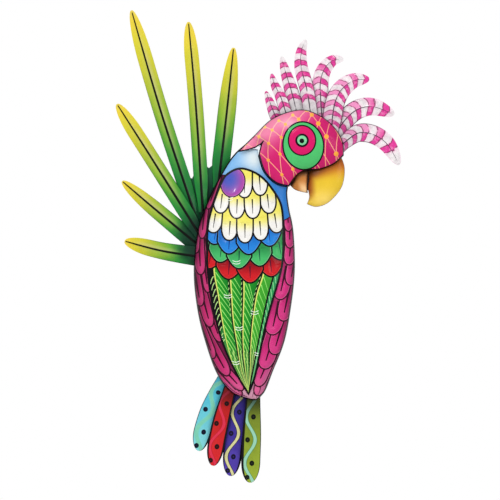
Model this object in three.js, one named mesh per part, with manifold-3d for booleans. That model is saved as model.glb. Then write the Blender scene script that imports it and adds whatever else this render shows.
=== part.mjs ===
// Parrot wall sculpture in painted sheet iron: a domed body and head, a crest,
// a tail and a palm frond, all welded to a flat strip that lies on the wall.
// Millimetres. +X is right seen from the front, +Z is up, and the wall is the
// plane Y = 0. "Front" below is the distance from the wall, so Y = -front.

import * as THREE from 'three';
import { mergeVertices } from 'three/addons/utils/BufferGeometryUtils.js';
import Module from 'manifold-3d';

const wasm = await Module();
wasm.setup();

// The bird's pattern: its body, and with it every place that is drawn on the body
const BODY_WIDTH = 80.8; // across the breast
const BODY_LENGTH = 213.9; // from the lower tip to the end of the neck

// Blades, from root to tip: the longest of each kind
const LEAF_LENGTH = 176.8;
const CREST_LENGTH = 67.6;
const TAIL_LENGTH = 79.8;

// Sheet and fits
const SHEET = 0.9; // pressed iron sheet with its paint
const FIT = 0.3; // gap left at every welded seat

// Back ironwork
const STRIP_WIDTH = 12; // flat bar on the wall
const STRIP_THICK = 2;
const PLATE_THICK = 1.2; // palm base, tail plate and head plate
const POST_DIAMETER = 6; // round studs between the layers
const EYE_OUTSIDE = 18; // steel ring that hangs on the nail
const EYE_HOLE = 9;

// Pressings
const BODY_DEPTH = 18; // height of the body's dome above its rim
const NECK_DEPTH = 7.5; // height of the neck where the head laps over it
const HEAD_DEPTH = 12;
const NAPE_RISE = 4; // the nape's tongue lies flat, so far above the head's rim
const NAPE_REACH = 37; // and starts so far from the head's centre
const UPPER_BEAK_DEPTH = 6;
const LOWER_BEAK_DEPTH = 4;

// Folded blades: half widths, height of the fold, length of the rounded tip, and
// how far the tip leans out
const LEAF_HALF = 6.4;
const LEAF_FOLD = 1.6;
const LEAF_TIP = 42;
const LEAF_LEAN = 7;
const CREST_HALF = 6;
const CREST_FOLD = 1.2;
const CREST_TIP = 34;
const CREST_LEAN = 5;
const TAIL_HALF = 6.7;
const TAIL_FOLD = 1.2;
const TAIL_TIP = 17;
const TAIL_LEAN = 2.5;

// Shares along the body and the strip
const SHOULDER = 0.55; // where the belly starts to fall away to the neck
const LAP = 0.87; // where the head starts to lap over the neck
const SOLID_TIP = 0.05; // the body's lower tip is solid up to here
const EYE_ALONG = 0.751; // the hanging eye sits over the middle of the weight

// Stations along and across the curved surfaces
const BODY_STATIONS = 22;
const BODY_ARC = 14;
const DOME_RINGS = 6;
const BLADE_STATIONS = 15;
const POST_SIDES = 20;

// The layers, from the wall to the front. A rear blade sits on its plate and
// a front blade hangs from the rim of the shell that covers its root.
const stripFront = STRIP_THICK;
const plateBack = stripFront + FIT;
const plateFront = plateBack + PLATE_THICK;
const leafRear = plateFront + FIT;
const bladeFold = Math.max(LEAF_FOLD, TAIL_FOLD);
const bodyRim = leafRear + 2 * (SHEET + bladeFold + FIT);
const headRim = bodyRim + NECK_DEPTH + FIT;
const headPlateFront = headRim - 2 * (SHEET + CREST_FOLD) - 3 * FIT;
const headPlateBack = headPlateFront - PLATE_THICK;
const leafFront = bodyRim - FIT - LEAF_FOLD - SHEET;
const tailFront = bodyRim - FIT - TAIL_FOLD - SHEET;
const crestRear = headPlateFront + FIT;
const crestFront = headRim - FIT - CREST_FOLD - SHEET;

const COLOUR = {
  magenta: 0xc23a78,
  leaf: 0x6fa83a,
  web: 0x1d4a36,
  feather: 0xe8c6d6,
  beak: 0xe8b53c,
  wing: 0x3f9a4c,
  iron: 0x26262a,
  tail: [0x2fb4c4, 0xc8283c, 0x4a3aa0, 0x7f9a34],
};

// A point at x, z in the picture plane and so far in front of the wall
function place(x, z, front) {
  return new THREE.Vector3(x, -front, z);
}

// The body's edges as drawn, from the lower tip to the end of the neck
const drawnLeft = [
  [4.8, -151.9], [-10.9, -145.8], [-22.6, -130.6], [-31.7, -105.6], [-38, -80], [-41, -49.6],
  [-38.2, -17.6], [-31.4, 3.2], [-21.9, 23.4], [-7.6, 45.6], [13.6, 62],
];
const drawnRight = [
  [9.4, -151.9], [16, -144.8], [22.4, -128.8], [31.4, -105.6], [36.4, -80], [39.8, -49.6],
  [38.8, -17.6], [35.2, 1.6], [33.8, 12.8], [34.4, 19.2], [33.2, 27.2],
];
const drawnSize = new THREE.Box2().setFromPoints(
  [...drawnLeft, ...drawnRight].map(([x, z]) => new THREE.Vector2(x, z)),
).getSize(new THREE.Vector2());
const patternScale = new THREE.Vector2(BODY_WIDTH, BODY_LENGTH).divide(drawnSize);

// Points of the bird's pattern from pairs of x and z as drawn
function points(pairs) {
  return pairs.map(([x, z]) => new THREE.Vector2(x, z).multiply(patternScale));
}

// 0 before a, 1 after b, smooth between
function ease(value, a, b) {
  return THREE.MathUtils.smoothstep(value, a, b);
}

// Sets the triangles of a closed body so that they face outward
function outward(vertices, faces) {
  let volume = 0;
  for (const [a, b, c] of faces) {
    const cross = new THREE.Vector3().crossVectors(vertices[b], vertices[c]);
    volume += vertices[a].dot(cross);
  }
  return volume > 0 ? faces : faces.map(([a, b, c]) => [a, c, b]);
}

function solid(vertices, faces) {
  return new wasm.Manifold(new wasm.Mesh({
    numProp: 3,
    vertProperties: new Float32Array(vertices.flatMap((v) => [v.x, v.y, v.z])),
    triVerts: new Uint32Array(outward(vertices, faces).flat()),
  }));
}

function solidFromGeometry(geometry) {
  geometry.deleteAttribute('normal');
  geometry.deleteAttribute('uv');
  const merged = mergeVertices(geometry, 1e-4);
  return new wasm.Manifold(new wasm.Mesh({
    numProp: 3,
    vertProperties: new Float32Array(merged.attributes.position.array),
    triVerts: new Uint32Array(merged.index.array),
  }));
}

// A closed body through rings of equal length. An end is closed by the list
// of triangles given for it, or by a fan on the centre given for it.
function loft(rings, startCap, endCap) {
  const count = rings[0].length;
  const vertices = rings.flat();
  const faces = [];
  for (let i = 0; i + 1 < rings.length; i += 1) {
    for (let j = 0; j < count; j += 1) {
      const a = i * count + j;
      const b = i * count + ((j + 1) % count);
      faces.push([a, b, b + count], [a, b + count, a + count]);
    }
  }
  const close = (cap, first, flip) => {
    const list = Array.isArray(cap)
      ? cap.map((face) => face.map((corner) => corner + first))
      : rings[0].map((_, j) => [vertices.length, first + j, first + ((j + 1) % count)]);
    if (!Array.isArray(cap)) vertices.push(cap);
    faces.push(...(flip ? list.map(([a, b, c]) => [a, c, b]) : list));
  };
  close(startCap, 0, true);
  close(endCap, (rings.length - 1) * count, false);
  return solid(vertices, faces);
}

function fan(count) {
  return Array.from({ length: count - 2 }, (_, j) => [0, j + 1, j + 2]);
}

// A flat piece of the given outline, lying between two distances from the wall
function flatPiece(outline, back, front, holes = []) {
  const shape = new THREE.Shape(outline);
  shape.holes.push(...holes);
  const geometry = new THREE.ExtrudeGeometry(shape, {
    depth: front - back,
    bevelEnabled: false,
    curveSegments: 16,
  });
  geometry.rotateX(Math.PI / 2);
  geometry.translate(0, -back, 0);
  return geometry;
}

function ring(centre, diameter, sides) {
  return Array.from({ length: sides }, (_, j) => {
    const turn = (2 * Math.PI * j) / sides;
    const step = new THREE.Vector2(Math.cos(turn), Math.sin(turn));
    return step.multiplyScalar(diameter / 2).add(centre);
  });
}

function closedSpline(pairs, perSide) {
  const at = points(pairs).map((p) => new THREE.Vector3(p.x, 0, p.y));
  const curve = new THREE.CatmullRomCurve3(at, true, 'centripetal');
  const round = curve.getPoints(perSide * pairs.length);
  return round.slice(0, -1).map((p) => new THREE.Vector2(p.x, p.z));
}

// An outline with one sharp corner: two splines that meet at its ends
function corneredSpline(sides, perSide) {
  return sides.flatMap((pairs) => {
    const line = new THREE.SplineCurve(points(pairs));
    return line.getPoints(perSide * (pairs.length - 1)).slice(0, -1);
  });
}

// Body: a dome between its two edges
const bodyLeft = new THREE.SplineCurve(points(drawnLeft));
const bodyRight = new THREE.SplineCurve(points(drawnRight));
const bodyHalf = (t) => bodyLeft.getPoint(t).distanceTo(bodyRight.getPoint(t)) / 2;
const widest = bodyHalf(0.5);

function bodyDepth(t) {
  const belly = BODY_DEPTH * Math.sqrt(bodyHalf(t) / widest);
  return THREE.MathUtils.lerp(belly, NECK_DEPTH, ease(t, SHOULDER, LAP));
}

// Half an ellipse across the body at t, grown outward by grow, with its feet
// carried skirt below the rim
function bodyRing(t, grow, skirt) {
  const left = bodyLeft.getPoint(t);
  const right = bodyRight.getPoint(t);
  const centre = left.clone().add(right).multiplyScalar(0.5);
  const reach = right.clone().sub(centre);
  reach.setLength(reach.length() + grow);
  const depth = bodyDepth(t) + grow;
  const arc = [];
  for (let j = 0; j <= BODY_ARC; j += 1) {
    const turn = Math.PI * (1 - j / BODY_ARC);
    const x = centre.x + reach.x * Math.cos(turn);
    const z = centre.y + reach.y * Math.cos(turn);
    arc.push(place(x, z, bodyRim + depth * Math.sin(turn)));
  }
  if (skirt > 0) {
    arc.push(place(centre.x + reach.x, centre.y + reach.y, bodyRim - skirt));
    arc.push(place(centre.x - reach.x, centre.y - reach.y, bodyRim - skirt));
  }
  return arc;
}

function bodyDome(grow, skirt, from, overrun) {
  const rings = [];
  for (let i = 0; i <= BODY_STATIONS; i += 1) {
    rings.push(bodyRing(from + (1 - from) * (i / BODY_STATIONS), grow, skirt));
  }
  if (overrun > 0) {
    const last = rings[BODY_STATIONS];
    const along = last[1].clone().sub(rings[BODY_STATIONS - 1][1]).setLength(overrun);
    rings.push(last.map((p) => p.clone().add(along)));
  }
  return loft(rings, fan(rings[0].length), fan(rings[0].length));
}

// Front of the body's dome over the point x, z
function bodyFrontAt(x, z, grow) {
  let low = 0;
  let high = 1;
  for (let step = 0; step < 40; step += 1) {
    const t = (low + high) / 2;
    const left = bodyLeft.getPoint(t);
    const right = bodyRight.getPoint(t);
    const side = (right.x - left.x) * (z - left.y) - (right.y - left.y) * (x - left.x);
    if (side > 0) low = t;
    else high = t;
  }
  const left = bodyLeft.getPoint(low);
  const right = bodyRight.getPoint(low);
  const half = bodyHalf(low);
  const offset = Math.hypot(x - (left.x + right.x) / 2, z - (left.y + right.y) / 2);
  const across = Math.min(1, offset / (half + grow));
  return bodyRim + (bodyDepth(low) + grow) * Math.sqrt(1 - across * across);
}

const bodyShell = bodyDome(0, 0, 0, 0).subtract(bodyDome(-SHEET, 1, SOLID_TIP, 3));

// Wing: a second sheet that follows the body's dome inside its own outline
const wingOutline = corneredSpline([
  [
    [2.8, -147.4], [8.2, -133.2], [12.5, -112.8], [16.8, -92.4], [22.1, -73.2], [27, -56.9], [30.4, -40.6],
    [31, -22], [29.6, 2.4], [22, 17], [11.6, 28], [-2, 33.4], [-12.4, 30.2], [-19.4, 21.4], [-29.2, -8],
    [-30.6, -36], [-29.4, -56], [-25.4, -80], [-17.8, -107], [-7.3, -130.3], [2.8, -147.4],
  ],
], 4);
const wingPrism = solidFromGeometry(flatPiece(wingOutline, bodyRim, bodyRim + 2 * BODY_DEPTH));
const wingSheet = bodyDome(FIT + SHEET, 0, 0, 0).subtract(bodyDome(FIT, 1, 0, 3));
const wingPanel = wingSheet.intersect(wingPrism);

// Height of a dome over its rim, on the line from an edge point to the centre. A
// tongue lies flat: there the dome is round only as far out as the tongue's start.
function domeRise(reach, turn, depth, tongue) {
  const round = depth * Math.sin(turn);
  if (!tongue || reach <= tongue.reach) return round;
  const across = Math.min(1, (reach * Math.cos(turn)) / tongue.reach);
  return Math.min(round, Math.max(depth * Math.sqrt(1 - across * across), tongue.rise * Math.sin(turn)));
}

// A dome over an outline that can be seen whole from its centre
function dome(outline, centre, rim, depth, inset, skirt, tongue) {
  const edge = outline.map((p) => {
    const inward = centre.clone().sub(p);
    return inward.setLength(inset).add(p);
  });
  const rings = [];
  if (skirt > 0) rings.push(edge.map((p) => place(p.x, p.y, rim - skirt)));
  for (let i = 0; i < DOME_RINGS; i += 1) {
    const turn = (Math.PI / 2) * (i / DOME_RINGS);
    rings.push(edge.map((p, k) => {
      const at = p.clone().lerp(centre, 1 - Math.cos(turn));
      const flat = tongue && outline[k].x < tongue.from
        ? { reach: tongue.reach - inset, rise: tongue.rise - inset } : null;
      return place(at.x, at.y, rim + domeRise(p.distanceTo(centre), turn, depth - inset, flat));
    }));
  }
  const foot = place(centre.x, centre.y, rim - skirt);
  const crown = place(centre.x, centre.y, rim + depth - inset);
  return loft(rings, foot, crown);
}

function domeShell(outline, centre, rim, depth, tongue) {
  const outside = dome(outline, centre, rim, depth, 0, 0, tongue);
  return outside.subtract(dome(outline, centre, rim, depth, SHEET, 1, tongue));
}

// Head: crown from the nape's point to the beak's corner, then the lower edge back
const [headCentre, studCentre] = points([[44, 57.6], [48, 52]]);
const headOutline = corneredSpline([
  [[-5.2, 46.8], [5.6, 57.6], [22.4, 73.2], [44, 80], [60, 75.2], [72, 65.2], [78, 54], [78.8, 43.2]],
  [[78.8, 43.2], [71.2, 36.4], [60, 32], [48.8, 30.8], [41.6, 27.2], [35.2, 18.4]],
  [[35.2, 18.4], [24.6, 21.2], [15.4, 30.2], [11, 43.2], [8.8, 48.4], [-5.2, 46.8]],
], 3);
const nape = { from: 10, reach: NAPE_REACH, rise: NAPE_RISE };
const headShell = domeShell(headOutline, headCentre, headRim, HEAD_DEPTH, nape);

// Beak: the hook, and the lip beside it
const beakRim = headPlateFront + FIT;
const [upperCentre, lowerCentre] = points([[63, 17], [45, 23]]);
const upperOutline = corneredSpline([
  [[49.4, 4.6], [51.2, 10.4], [50.2, 17.6], [51, 24], [51.2, 31.2], [55.2, 37.6], [66, 41.6], [77, 42]],
  [[77, 42], [79.5, 34], [78.9, 23.8], [75.5, 15.2], [66.4, 5.7], [57, 2.4], [49.4, 4.6]],
], 3);
const upperBeak = domeShell(upperOutline, upperCentre, beakRim, UPPER_BEAK_DEPTH);
const lowerOutline = corneredSpline([
  [[37.4, 20.4], [42.4, 15.6], [50.1, 13.4]],
  [[50.1, 13.4], [49.7, 20], [50.4, 26], [50.4, 31.6], [45.6, 34.4], [41.2, 29.2], [37.4, 20.4]],
], 3);
const lowerBeak = domeShell(lowerOutline, lowerCentre, beakRim, LOWER_BEAK_DEPTH);

// Spines of blades with their roots on the pattern, drawn out from there so that
// the longest has the length given
function spines(blades, longest) {
  const drawn = blades.map(({ spine }) => spine.map(([x, z]) => new THREE.Vector2(x, z)));
  const reach = Math.max(...drawn.map((line) => line[0].distanceTo(line[line.length - 1])));
  return drawn.map((line) => {
    const root = line[0].clone().multiply(patternScale);
    return line.map((p) => p.clone().sub(line[0]).multiplyScalar(longest / reach).add(root));
  });
}

// A blade folded along its spine, from its root to its rounded tip. Its root has
// the share root of the full width, which it reaches at the share swell.
function blade(spine, half, seat, { fold, lean, tip, root, swell }) {
  const curve = new THREE.SplineCurve(spine);
  const length = curve.getLength();
  const rings = [];
  for (let i = 0; i <= BLADE_STATIONS; i += 1) {
    const u = 1 - (1 - i / BLADE_STATIONS) ** 1.5;
    const at = curve.getPointAt(u);
    const along = curve.getTangentAt(u);
    const toTip = THREE.MathUtils.clamp(1 - ((1 - u) * length) / tip, 0, 1);
    const full = root + (1 - root) * ease(u, 0, swell);
    const width = half * full * Math.sqrt(1 - 0.985 * toTip * toTip);
    const crease = fold * Math.min(1, 5 * (1 - u) + 0.2);
    const back = seat + lean * ease(u, 0.35, 1.4) * 1.6;
    const section = [[-width, 0], [0, crease], [width, 0]];
    const turned = section.map(([across, rise]) => [
      at.x - along.y * across, at.y + along.x * across, back + rise,
    ]);
    const rear = turned.map(([x, z, f]) => place(x, z, f));
    const face = turned.map(([x, z, f]) => place(x, z, f + SHEET)).reverse();
    rings.push([...rear, ...face]);
  }
  const cap = [[0, 1, 4], [0, 4, 5], [1, 2, 3], [1, 3, 4]];
  return loft(rings, cap, cap);
}

// Palm leaflets, from the lowest round to the right: spine, width, layer and how
// long the rounded tip is beside the longest leaflet's
const leaves = [
  { spine: [[-22.2, -41.6], [-64.6, -33.4], [-96, -24.9]], wide: 1.09, front: true, tip: 0.52 },
  { spine: [[-33.6, -31.2], [-71.6, 0.4], [-98, 22.9]], wide: 0.97, front: false, tip: 0.86 },
  { spine: [[-33.6, -24], [-76.2, 43.9], [-102.1, 84.4]], wide: 0.95, front: true, tip: 0.67 },
  { spine: [[-38, -9.6], [-66.4, 76], [-90.6, 159.2]], wide: 0.95, front: false, tip: 1 },
  { spine: [[-33.6, -1.6], [-39.3, 84], [-45.1, 149.9]], wide: 0.9, front: true, tip: 0.71 },
  { spine: [[-21.6, 17.6], [-14.8, 76], [-9.1, 129.4]], wide: 1.13, front: false, tip: 1.31 },
];
const leafSpines = spines(leaves, LEAF_LENGTH);
const leafForm = { fold: LEAF_FOLD, lean: LEAF_LEAN, root: 0.6, swell: 0.2 };

// Crest feathers, from the nape round to the brow. Two swell to their width early,
// and two are broad at the root.
const crest = [
  { spine: [[31, 61.6], [23.9, 75.6], [16.6, 94.5]], wide: 0.84, front: false },
  { spine: [[36, 66], [29.2, 88], [23.6, 100], [21.2, 108.4]], wide: 0.82, front: true },
  {
    spine: [[43.6, 68], [37.8, 92], [32.2, 110.4], [29.2, 122]],
    wide: 1.1,
    front: false,
    root: 0.95,
    tip: 1.76,
  },
  {
    spine: [[53.6, 68], [49.6, 94.4], [44.8, 113.6], [45, 126.4], [48.6, 135.4]],
    wide: 0.96,
    front: true,
    root: 0.95,
  },
  {
    spine: [[62, 66], [60.4, 88], [60.2, 102.4], [63.6, 112.8], [70.4, 119.2], [78.4, 120]],
    wide: 1.1,
    front: false,
  },
  {
    spine: [[69, 60], [70, 76], [72.8, 88.6], [78.4, 97.4], [87, 103], [99, 104.2]],
    wide: 1.3,
    front: true,
    swell: 0.25,
  },
  {
    spine: [[70, 56], [75, 65], [82.6, 74.8], [92, 81], [103.2, 82], [119, 76]],
    wide: 1.3,
    front: false,
    swell: 0.25,
  },
  {
    spine: [[74.6, 48.8], [80.8, 54.9], [90.4, 61.2], [102.4, 60], [113.6, 52], [122.8, 36]],
    wide: 1.24,
    front: true,
  },
];
const crestSpines = spines(crest, CREST_LENGTH);
const crestForm = { fold: CREST_FOLD, lean: CREST_LEAN };

// Tail feathers, from the outer left to the middle
const tail = [
  {
    spine: [[-13.2, -128], [-21.5, -144], [-29.1, -161.6], [-34.2, -178.4], [-37, -192.4]],
    wide: 1.08,
    front: false,
  },
  { spine: [[-9.6, -134.4], [-17.4, -161.6], [-22.4, -184], [-25.6, -204.2]], wide: 1.02, front: true },
  { spine: [[-1.6, -137.6], [-5.8, -164], [-9.2, -188], [-11.6, -212.5]], wide: 1.12, front: false },
  { spine: [[7.2, -138], [5.9, -164], [4.9, -192], [4.1, -217.7]], wide: 1.14, front: true },
];
const tailSpines = spines(tail, TAIL_LENGTH);
const tailForm = { fold: TAIL_FOLD, lean: TAIL_LEAN, tip: TAIL_TIP, root: 0.7, swell: 0.6 };

// Palm base: a web between the leaflets' roots, with a tab over the strip
const palmBase = flatPiece(closedSpline([
  [8, -26], [-14, -12], [-19, 12], [-18.4, 36], [-22, 41], [-28.8, 33.6], [-36.6, 41], [-42.4, 25.2],
  [-50.6, 31], [-46.4, 4], [-44, -4], [-48.8, -17.6], [-44.4, -26], [-46.4, -34], [-36, -41], [8, -38],
], 3), plateBack, plateFront);

// Tail plate, and head plate with a tongue behind the seam of the beak
const tailPlate = flatPiece(closedSpline([
  [-17.6, -131], [9.6, -138], [8.8, -156], [-4, -160], [-20, -151],
], 4), plateBack, plateFront);
const headPlate = flatPiece(closedSpline([
  [32, 68], [44, 73.6], [58.4, 70.4], [68.8, 61.6], [73.6, 49.6], [70.4, 38.4], [61.6, 31.4],
  [55.4, 27], [54.2, 20], [50.8, 15.4], [47.2, 19], [46.6, 27], [43.2, 30.4], [40.8, 44], [33.6, 56],
], 3), headPlateBack, headPlateFront);

// Back strip: a flat bar along the bird's middle
const stripPath = new THREE.SplineCurve(points([
  [-3.2, -146.4], [-0.8, -96], [0.8, -41.6], [2.4, -9.6], [13.6, 21.6], [32.8, 41.6], [58.4, 62.4],
]));

// The point so far along the strip, moved so far to its left
function besideStrip(u, left) {
  const at = stripPath.getPointAt(u);
  const along = stripPath.getTangentAt(u);
  return new THREE.Vector2(at.x - along.y * left, at.y + along.x * left);
}

const stripSteps = Array.from({ length: 25 }, (_, i) => i / 24);
const backStrip = flatPiece([
  ...stripSteps.map((u) => besideStrip(u, -STRIP_WIDTH / 2)),
  ...stripSteps.map((u) => besideStrip(1 - u, STRIP_WIDTH / 2)),
], 0, stripFront);

// Hanging eye: a ring welded to the strip's left edge
const eyeCentre = besideStrip(EYE_ALONG, STRIP_WIDTH / 2 + FIT + EYE_OUTSIDE / 2);
const eyeHole = new THREE.Path(ring(eyeCentre, EYE_HOLE, 32));
const hangingEye = flatPiece(ring(eyeCentre, EYE_OUTSIDE, 32), 0, STRIP_THICK, [eyeHole]);

// Posts: the top of one under a dome stays clear of the dome's lowest point over it
function post(centre, back, front) {
  return flatPiece(ring(centre, POST_DIAMETER, POST_SIDES), back, front);
}

function bodyPost(along) {
  const centre = besideStrip(along, 0);
  const over = ring(centre, POST_DIAMETER, POST_SIDES);
  const top = Math.min(...over.map((p) => bodyFrontAt(p.x, p.y, -SHEET)));
  return post(centre, stripFront + FIT, top - FIT);
}

// Front of the inside of the head over a point
function headFrontAt(p) {
  const reach = p.distanceTo(headCentre);
  const way = p.clone().sub(headCentre);
  let across = 0;
  headOutline.forEach((a, i) => {
    const b = headOutline[(i + 1) % headOutline.length];
    const side = b.clone().sub(a);
    const from = a.clone().sub(headCentre);
    const cross = way.cross(side);
    const far = from.cross(side) / cross;
    const along = from.cross(way) / cross;
    if (far > 0 && along >= 0 && along <= 1) across = reach / (far * reach - SHEET);
  });
  return headRim + (HEAD_DEPTH - SHEET) * Math.sqrt(1 - across * across);
}

const studTop = Math.min(...ring(studCentre, POST_DIAMETER, POST_SIDES).map(headFrontAt));

const assembly = new THREE.Group();
assembly.name = 'parrot_wall_sculpture';

function add(name, shape, colour) {
  let geometry = shape;
  if (!shape.isBufferGeometry) {
    const { vertProperties, triVerts } = shape.getMesh();
    geometry = new THREE.BufferGeometry();
    geometry.setAttribute('position', new THREE.Float32BufferAttribute(vertProperties, 3));
    geometry.setIndex(Array.from(triVerts));
    geometry.computeVertexNormals();
  }
  const finish = new THREE.MeshStandardMaterial({ color: colour, roughness: 0.4, metalness: 0.1 });
  const mesh = new THREE.Mesh(geometry, finish);
  mesh.name = name;
  assembly.add(mesh);
}

add('body_shell', bodyShell, COLOUR.magenta);
add('wing_panel', wingPanel, COLOUR.wing);
add('head_shell', headShell, COLOUR.magenta);
add('upper_beak', upperBeak, COLOUR.beak);
add('lower_beak', lowerBeak, COLOUR.beak);
crest.forEach(({ wide, front, swell = 0.4, root = 0.68, tip = 1 }, i) => {
  const seat = front ? crestFront : crestRear;
  const form = { ...crestForm, swell, root, tip: CREST_TIP * tip };
  const shape = blade(crestSpines[i], CREST_HALF * wide, seat, form);
  add(`crest_feather_${i + 1}`, shape, COLOUR.feather);
});
leaves.forEach(({ wide, front, tip }, i) => {
  const seat = front ? leafFront : leafRear;
  const form = { ...leafForm, tip: LEAF_TIP * tip };
  const shape = blade(leafSpines[i], LEAF_HALF * wide, seat, form);
  add(`palm_leaf_${i + 1}`, shape, COLOUR.leaf);
});
tail.forEach(({ wide, front }, i) => {
  const seat = front ? tailFront : leafRear;
  const shape = blade(tailSpines[i], TAIL_HALF * wide, seat, tailForm);
  add(`tail_feather_${i + 1}`, shape, COLOUR.tail[i]);
});
add('palm_base', palmBase, COLOUR.web);
add('tail_plate', tailPlate, COLOUR.iron);
add('head_plate', headPlate, COLOUR.iron);
add('back_strip', backStrip, COLOUR.iron);
add('hanging_eye', hangingEye, COLOUR.iron);
add('body_post_upper', bodyPost(0.605), COLOUR.iron);
add('body_post_lower', bodyPost(0.2), COLOUR.iron);
[0.85, 0.96].forEach((along, i) => {
  const shape = post(besideStrip(along, 0), stripFront + FIT, headPlateBack - FIT);
  add(`head_post_${i + 1}`, shape, COLOUR.iron);
});
add('head_stud', post(studCentre, headPlateFront + FIT, studTop - FIT), COLOUR.iron);

export default assembly;
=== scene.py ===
# A parrot on a palm frond, a wall piece in pressed and painted sheet iron.
# The file follows the piece as it is put together, from the wall to the front.
import math

import bmesh
import bpy
import numpy as np
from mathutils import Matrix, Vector
from mathutils.geometry import delaunay_2d_cdt
from mathutils.kdtree import KDTree


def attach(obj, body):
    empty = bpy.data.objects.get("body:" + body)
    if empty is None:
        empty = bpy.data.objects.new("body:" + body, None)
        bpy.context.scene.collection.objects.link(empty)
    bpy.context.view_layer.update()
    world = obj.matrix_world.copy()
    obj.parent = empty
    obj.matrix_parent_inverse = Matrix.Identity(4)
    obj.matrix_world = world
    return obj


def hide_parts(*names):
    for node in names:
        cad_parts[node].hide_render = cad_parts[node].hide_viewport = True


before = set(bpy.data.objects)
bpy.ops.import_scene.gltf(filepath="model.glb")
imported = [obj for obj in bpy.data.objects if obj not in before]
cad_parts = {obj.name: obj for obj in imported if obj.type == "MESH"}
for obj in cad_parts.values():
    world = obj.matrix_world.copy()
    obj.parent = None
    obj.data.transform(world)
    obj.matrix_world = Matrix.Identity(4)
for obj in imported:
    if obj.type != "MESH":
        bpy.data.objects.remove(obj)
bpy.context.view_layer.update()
scene = bpy.context.scene

# Back ironwork
# A flat bar on the wall with a punched ring to hang it by, and plates and short
# round studs between the layers. Mild steel with eased edges, tack-welded and
# dipped in satin black paint before the front sheets go on.
MM = 0.001  # the pattern is drawn in millimetres, Blender works in metres
SHEET = 0.9  # pressed sheet with its paint
SHARP = math.radians(50)  # an edge that turns by more than this is a cut edge
STRIP = [(-3.2, -146.4), (-0.8, -96), (0.8, -41.6), (2.4, -9.6), (13.6, 21.6), (32.8, 41.6), (58.4, 62.4)]
STRIP_HALF = 6.0
IRON_NODES = [
    "back_strip", "hanging_eye", "body_post_upper", "body_post_lower",
    "head_post_1", "head_post_2", "head_stud", "tail_plate", "head_plate",
]


def card(red, green, blue):
    """A colour off the paint card, 0 to 255, as a linear colour"""
    parts = [c / 255 for c in (red, green, blue)]
    return (*[((c + 0.055) / 1.055) ** 2.4 if c > 0.04 else c / 12.92 for c in parts], 1.0)


def feed(tree, socket, value):
    """Gives a node's input a number, a colour, or what another node puts out"""
    value = value.socket if isinstance(value, Flow) else value
    if isinstance(value, bpy.types.NodeSocket):
        tree.links.new(value, socket)
    else:
        socket.default_value = value


def add_node(tree, kind, inputs=None, **settings):
    """Adds a node with its settings and its inputs"""
    made = tree.nodes.new(kind)
    for name, value in settings.items():
        setattr(made, name, value)
    for name, value in (inputs or {}).items():
        feed(tree, made.inputs[name], value)
    return made


class Flow:
    """What a node puts out. Sums on it add the nodes that work them out."""

    def __init__(self, tree, socket):
        self.tree, self.socket = tree, socket

    def sum(self, operation, *others):
        """The result of one of the Math node's operations"""
        made = add_node(self.tree, "ShaderNodeMath", operation=operation)
        for socket, value in zip(made.inputs, (self, *others)):
            feed(self.tree, socket, value)
        return Flow(self.tree, made.outputs[0])

    def ease(self, low, high, start=0.0, end=1.0):
        """The value start up to low, end after high, and smooth between"""
        made = add_node(self.tree, "ShaderNodeMapRange", interpolation_type="SMOOTHSTEP")
        for socket, value in zip(made.inputs, (self, low, high, start, end)):
            feed(self.tree, socket, value)
        return Flow(self.tree, made.outputs[0])

    def mix(self, first, second):
        """The first colour at 0 and the second at 1"""
        made = add_node(self.tree, "ShaderNodeMix", {0: self, 6: first, 7: second}, data_type="RGBA")
        return Flow(self.tree, made.outputs[2])

    def __add__(self, other):
        return self.sum("ADD", other)

    def __sub__(self, other):
        return self.sum("SUBTRACT", other)

    def __rsub__(self, other):
        return self.sum("MULTIPLY_ADD", -1.0, other)

    def __mul__(self, other):
        return self.sum("MULTIPLY", other)

    def __truediv__(self, other):
        return self.sum("DIVIDE", other)

    def __abs__(self):
        return self.sum("ABSOLUTE")

    __radd__, __rmul__ = __add__, __mul__


def cloud(tree, size, detail=2.0):
    """Soft random patches of about the size given in millimetres"""
    place = add_node(tree, "ShaderNodeTexCoord").outputs["Object"]
    made = add_node(tree, "ShaderNodeTexNoise", {
        "Vector": place, "Scale": 1 / (size * MM), "Detail": detail})
    return Flow(tree, made.outputs["Fac"])


def shader_group(name, inputs, outputs):
    """An empty shader group with named sockets, what it is given, and its end"""
    tree = bpy.data.node_groups.new(name, "ShaderNodeTree")
    for way, sockets in (("INPUT", inputs), ("OUTPUT", outputs)):
        for label, kind in sockets.items():
            tree.interface.new_socket(label, in_out=way, socket_type="NodeSocket" + kind)
    start, end = tree.nodes.new("NodeGroupInput"), tree.nodes.new("NodeGroupOutput")
    return tree, {label: Flow(tree, start.outputs[label]) for label in inputs}, end


# Stoved paint: slight clouding of the colour, uneven gloss and an orange-peel skin
paint_skin, given, out = shader_group(
    "stoved paint", {"Colour": "Color", "Mottle": "Float", "Gloss": "Float"},
    {"Colour": "Color", "Roughness": "Float", "Height": "Float"})
patches, peel = cloud(paint_skin, 7, 4), cloud(paint_skin, 0.9, 2)
shade = 1 + (patches - 0.5) * given["Mottle"] * 2 + (peel - 0.5) * given["Mottle"]
toned = add_node(paint_skin, "ShaderNodeVectorMath", {0: given["Colour"], "Scale": shade},
                 operation="SCALE")
feed(paint_skin, out.inputs["Colour"], toned.outputs[0])
feed(paint_skin, out.inputs["Roughness"], given["Gloss"] + (patches - 0.5) * 0.16 + (peel - 0.5) * 0.1)
feed(paint_skin, out.inputs["Height"], peel * 0.6 + patches * 0.4)


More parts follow.
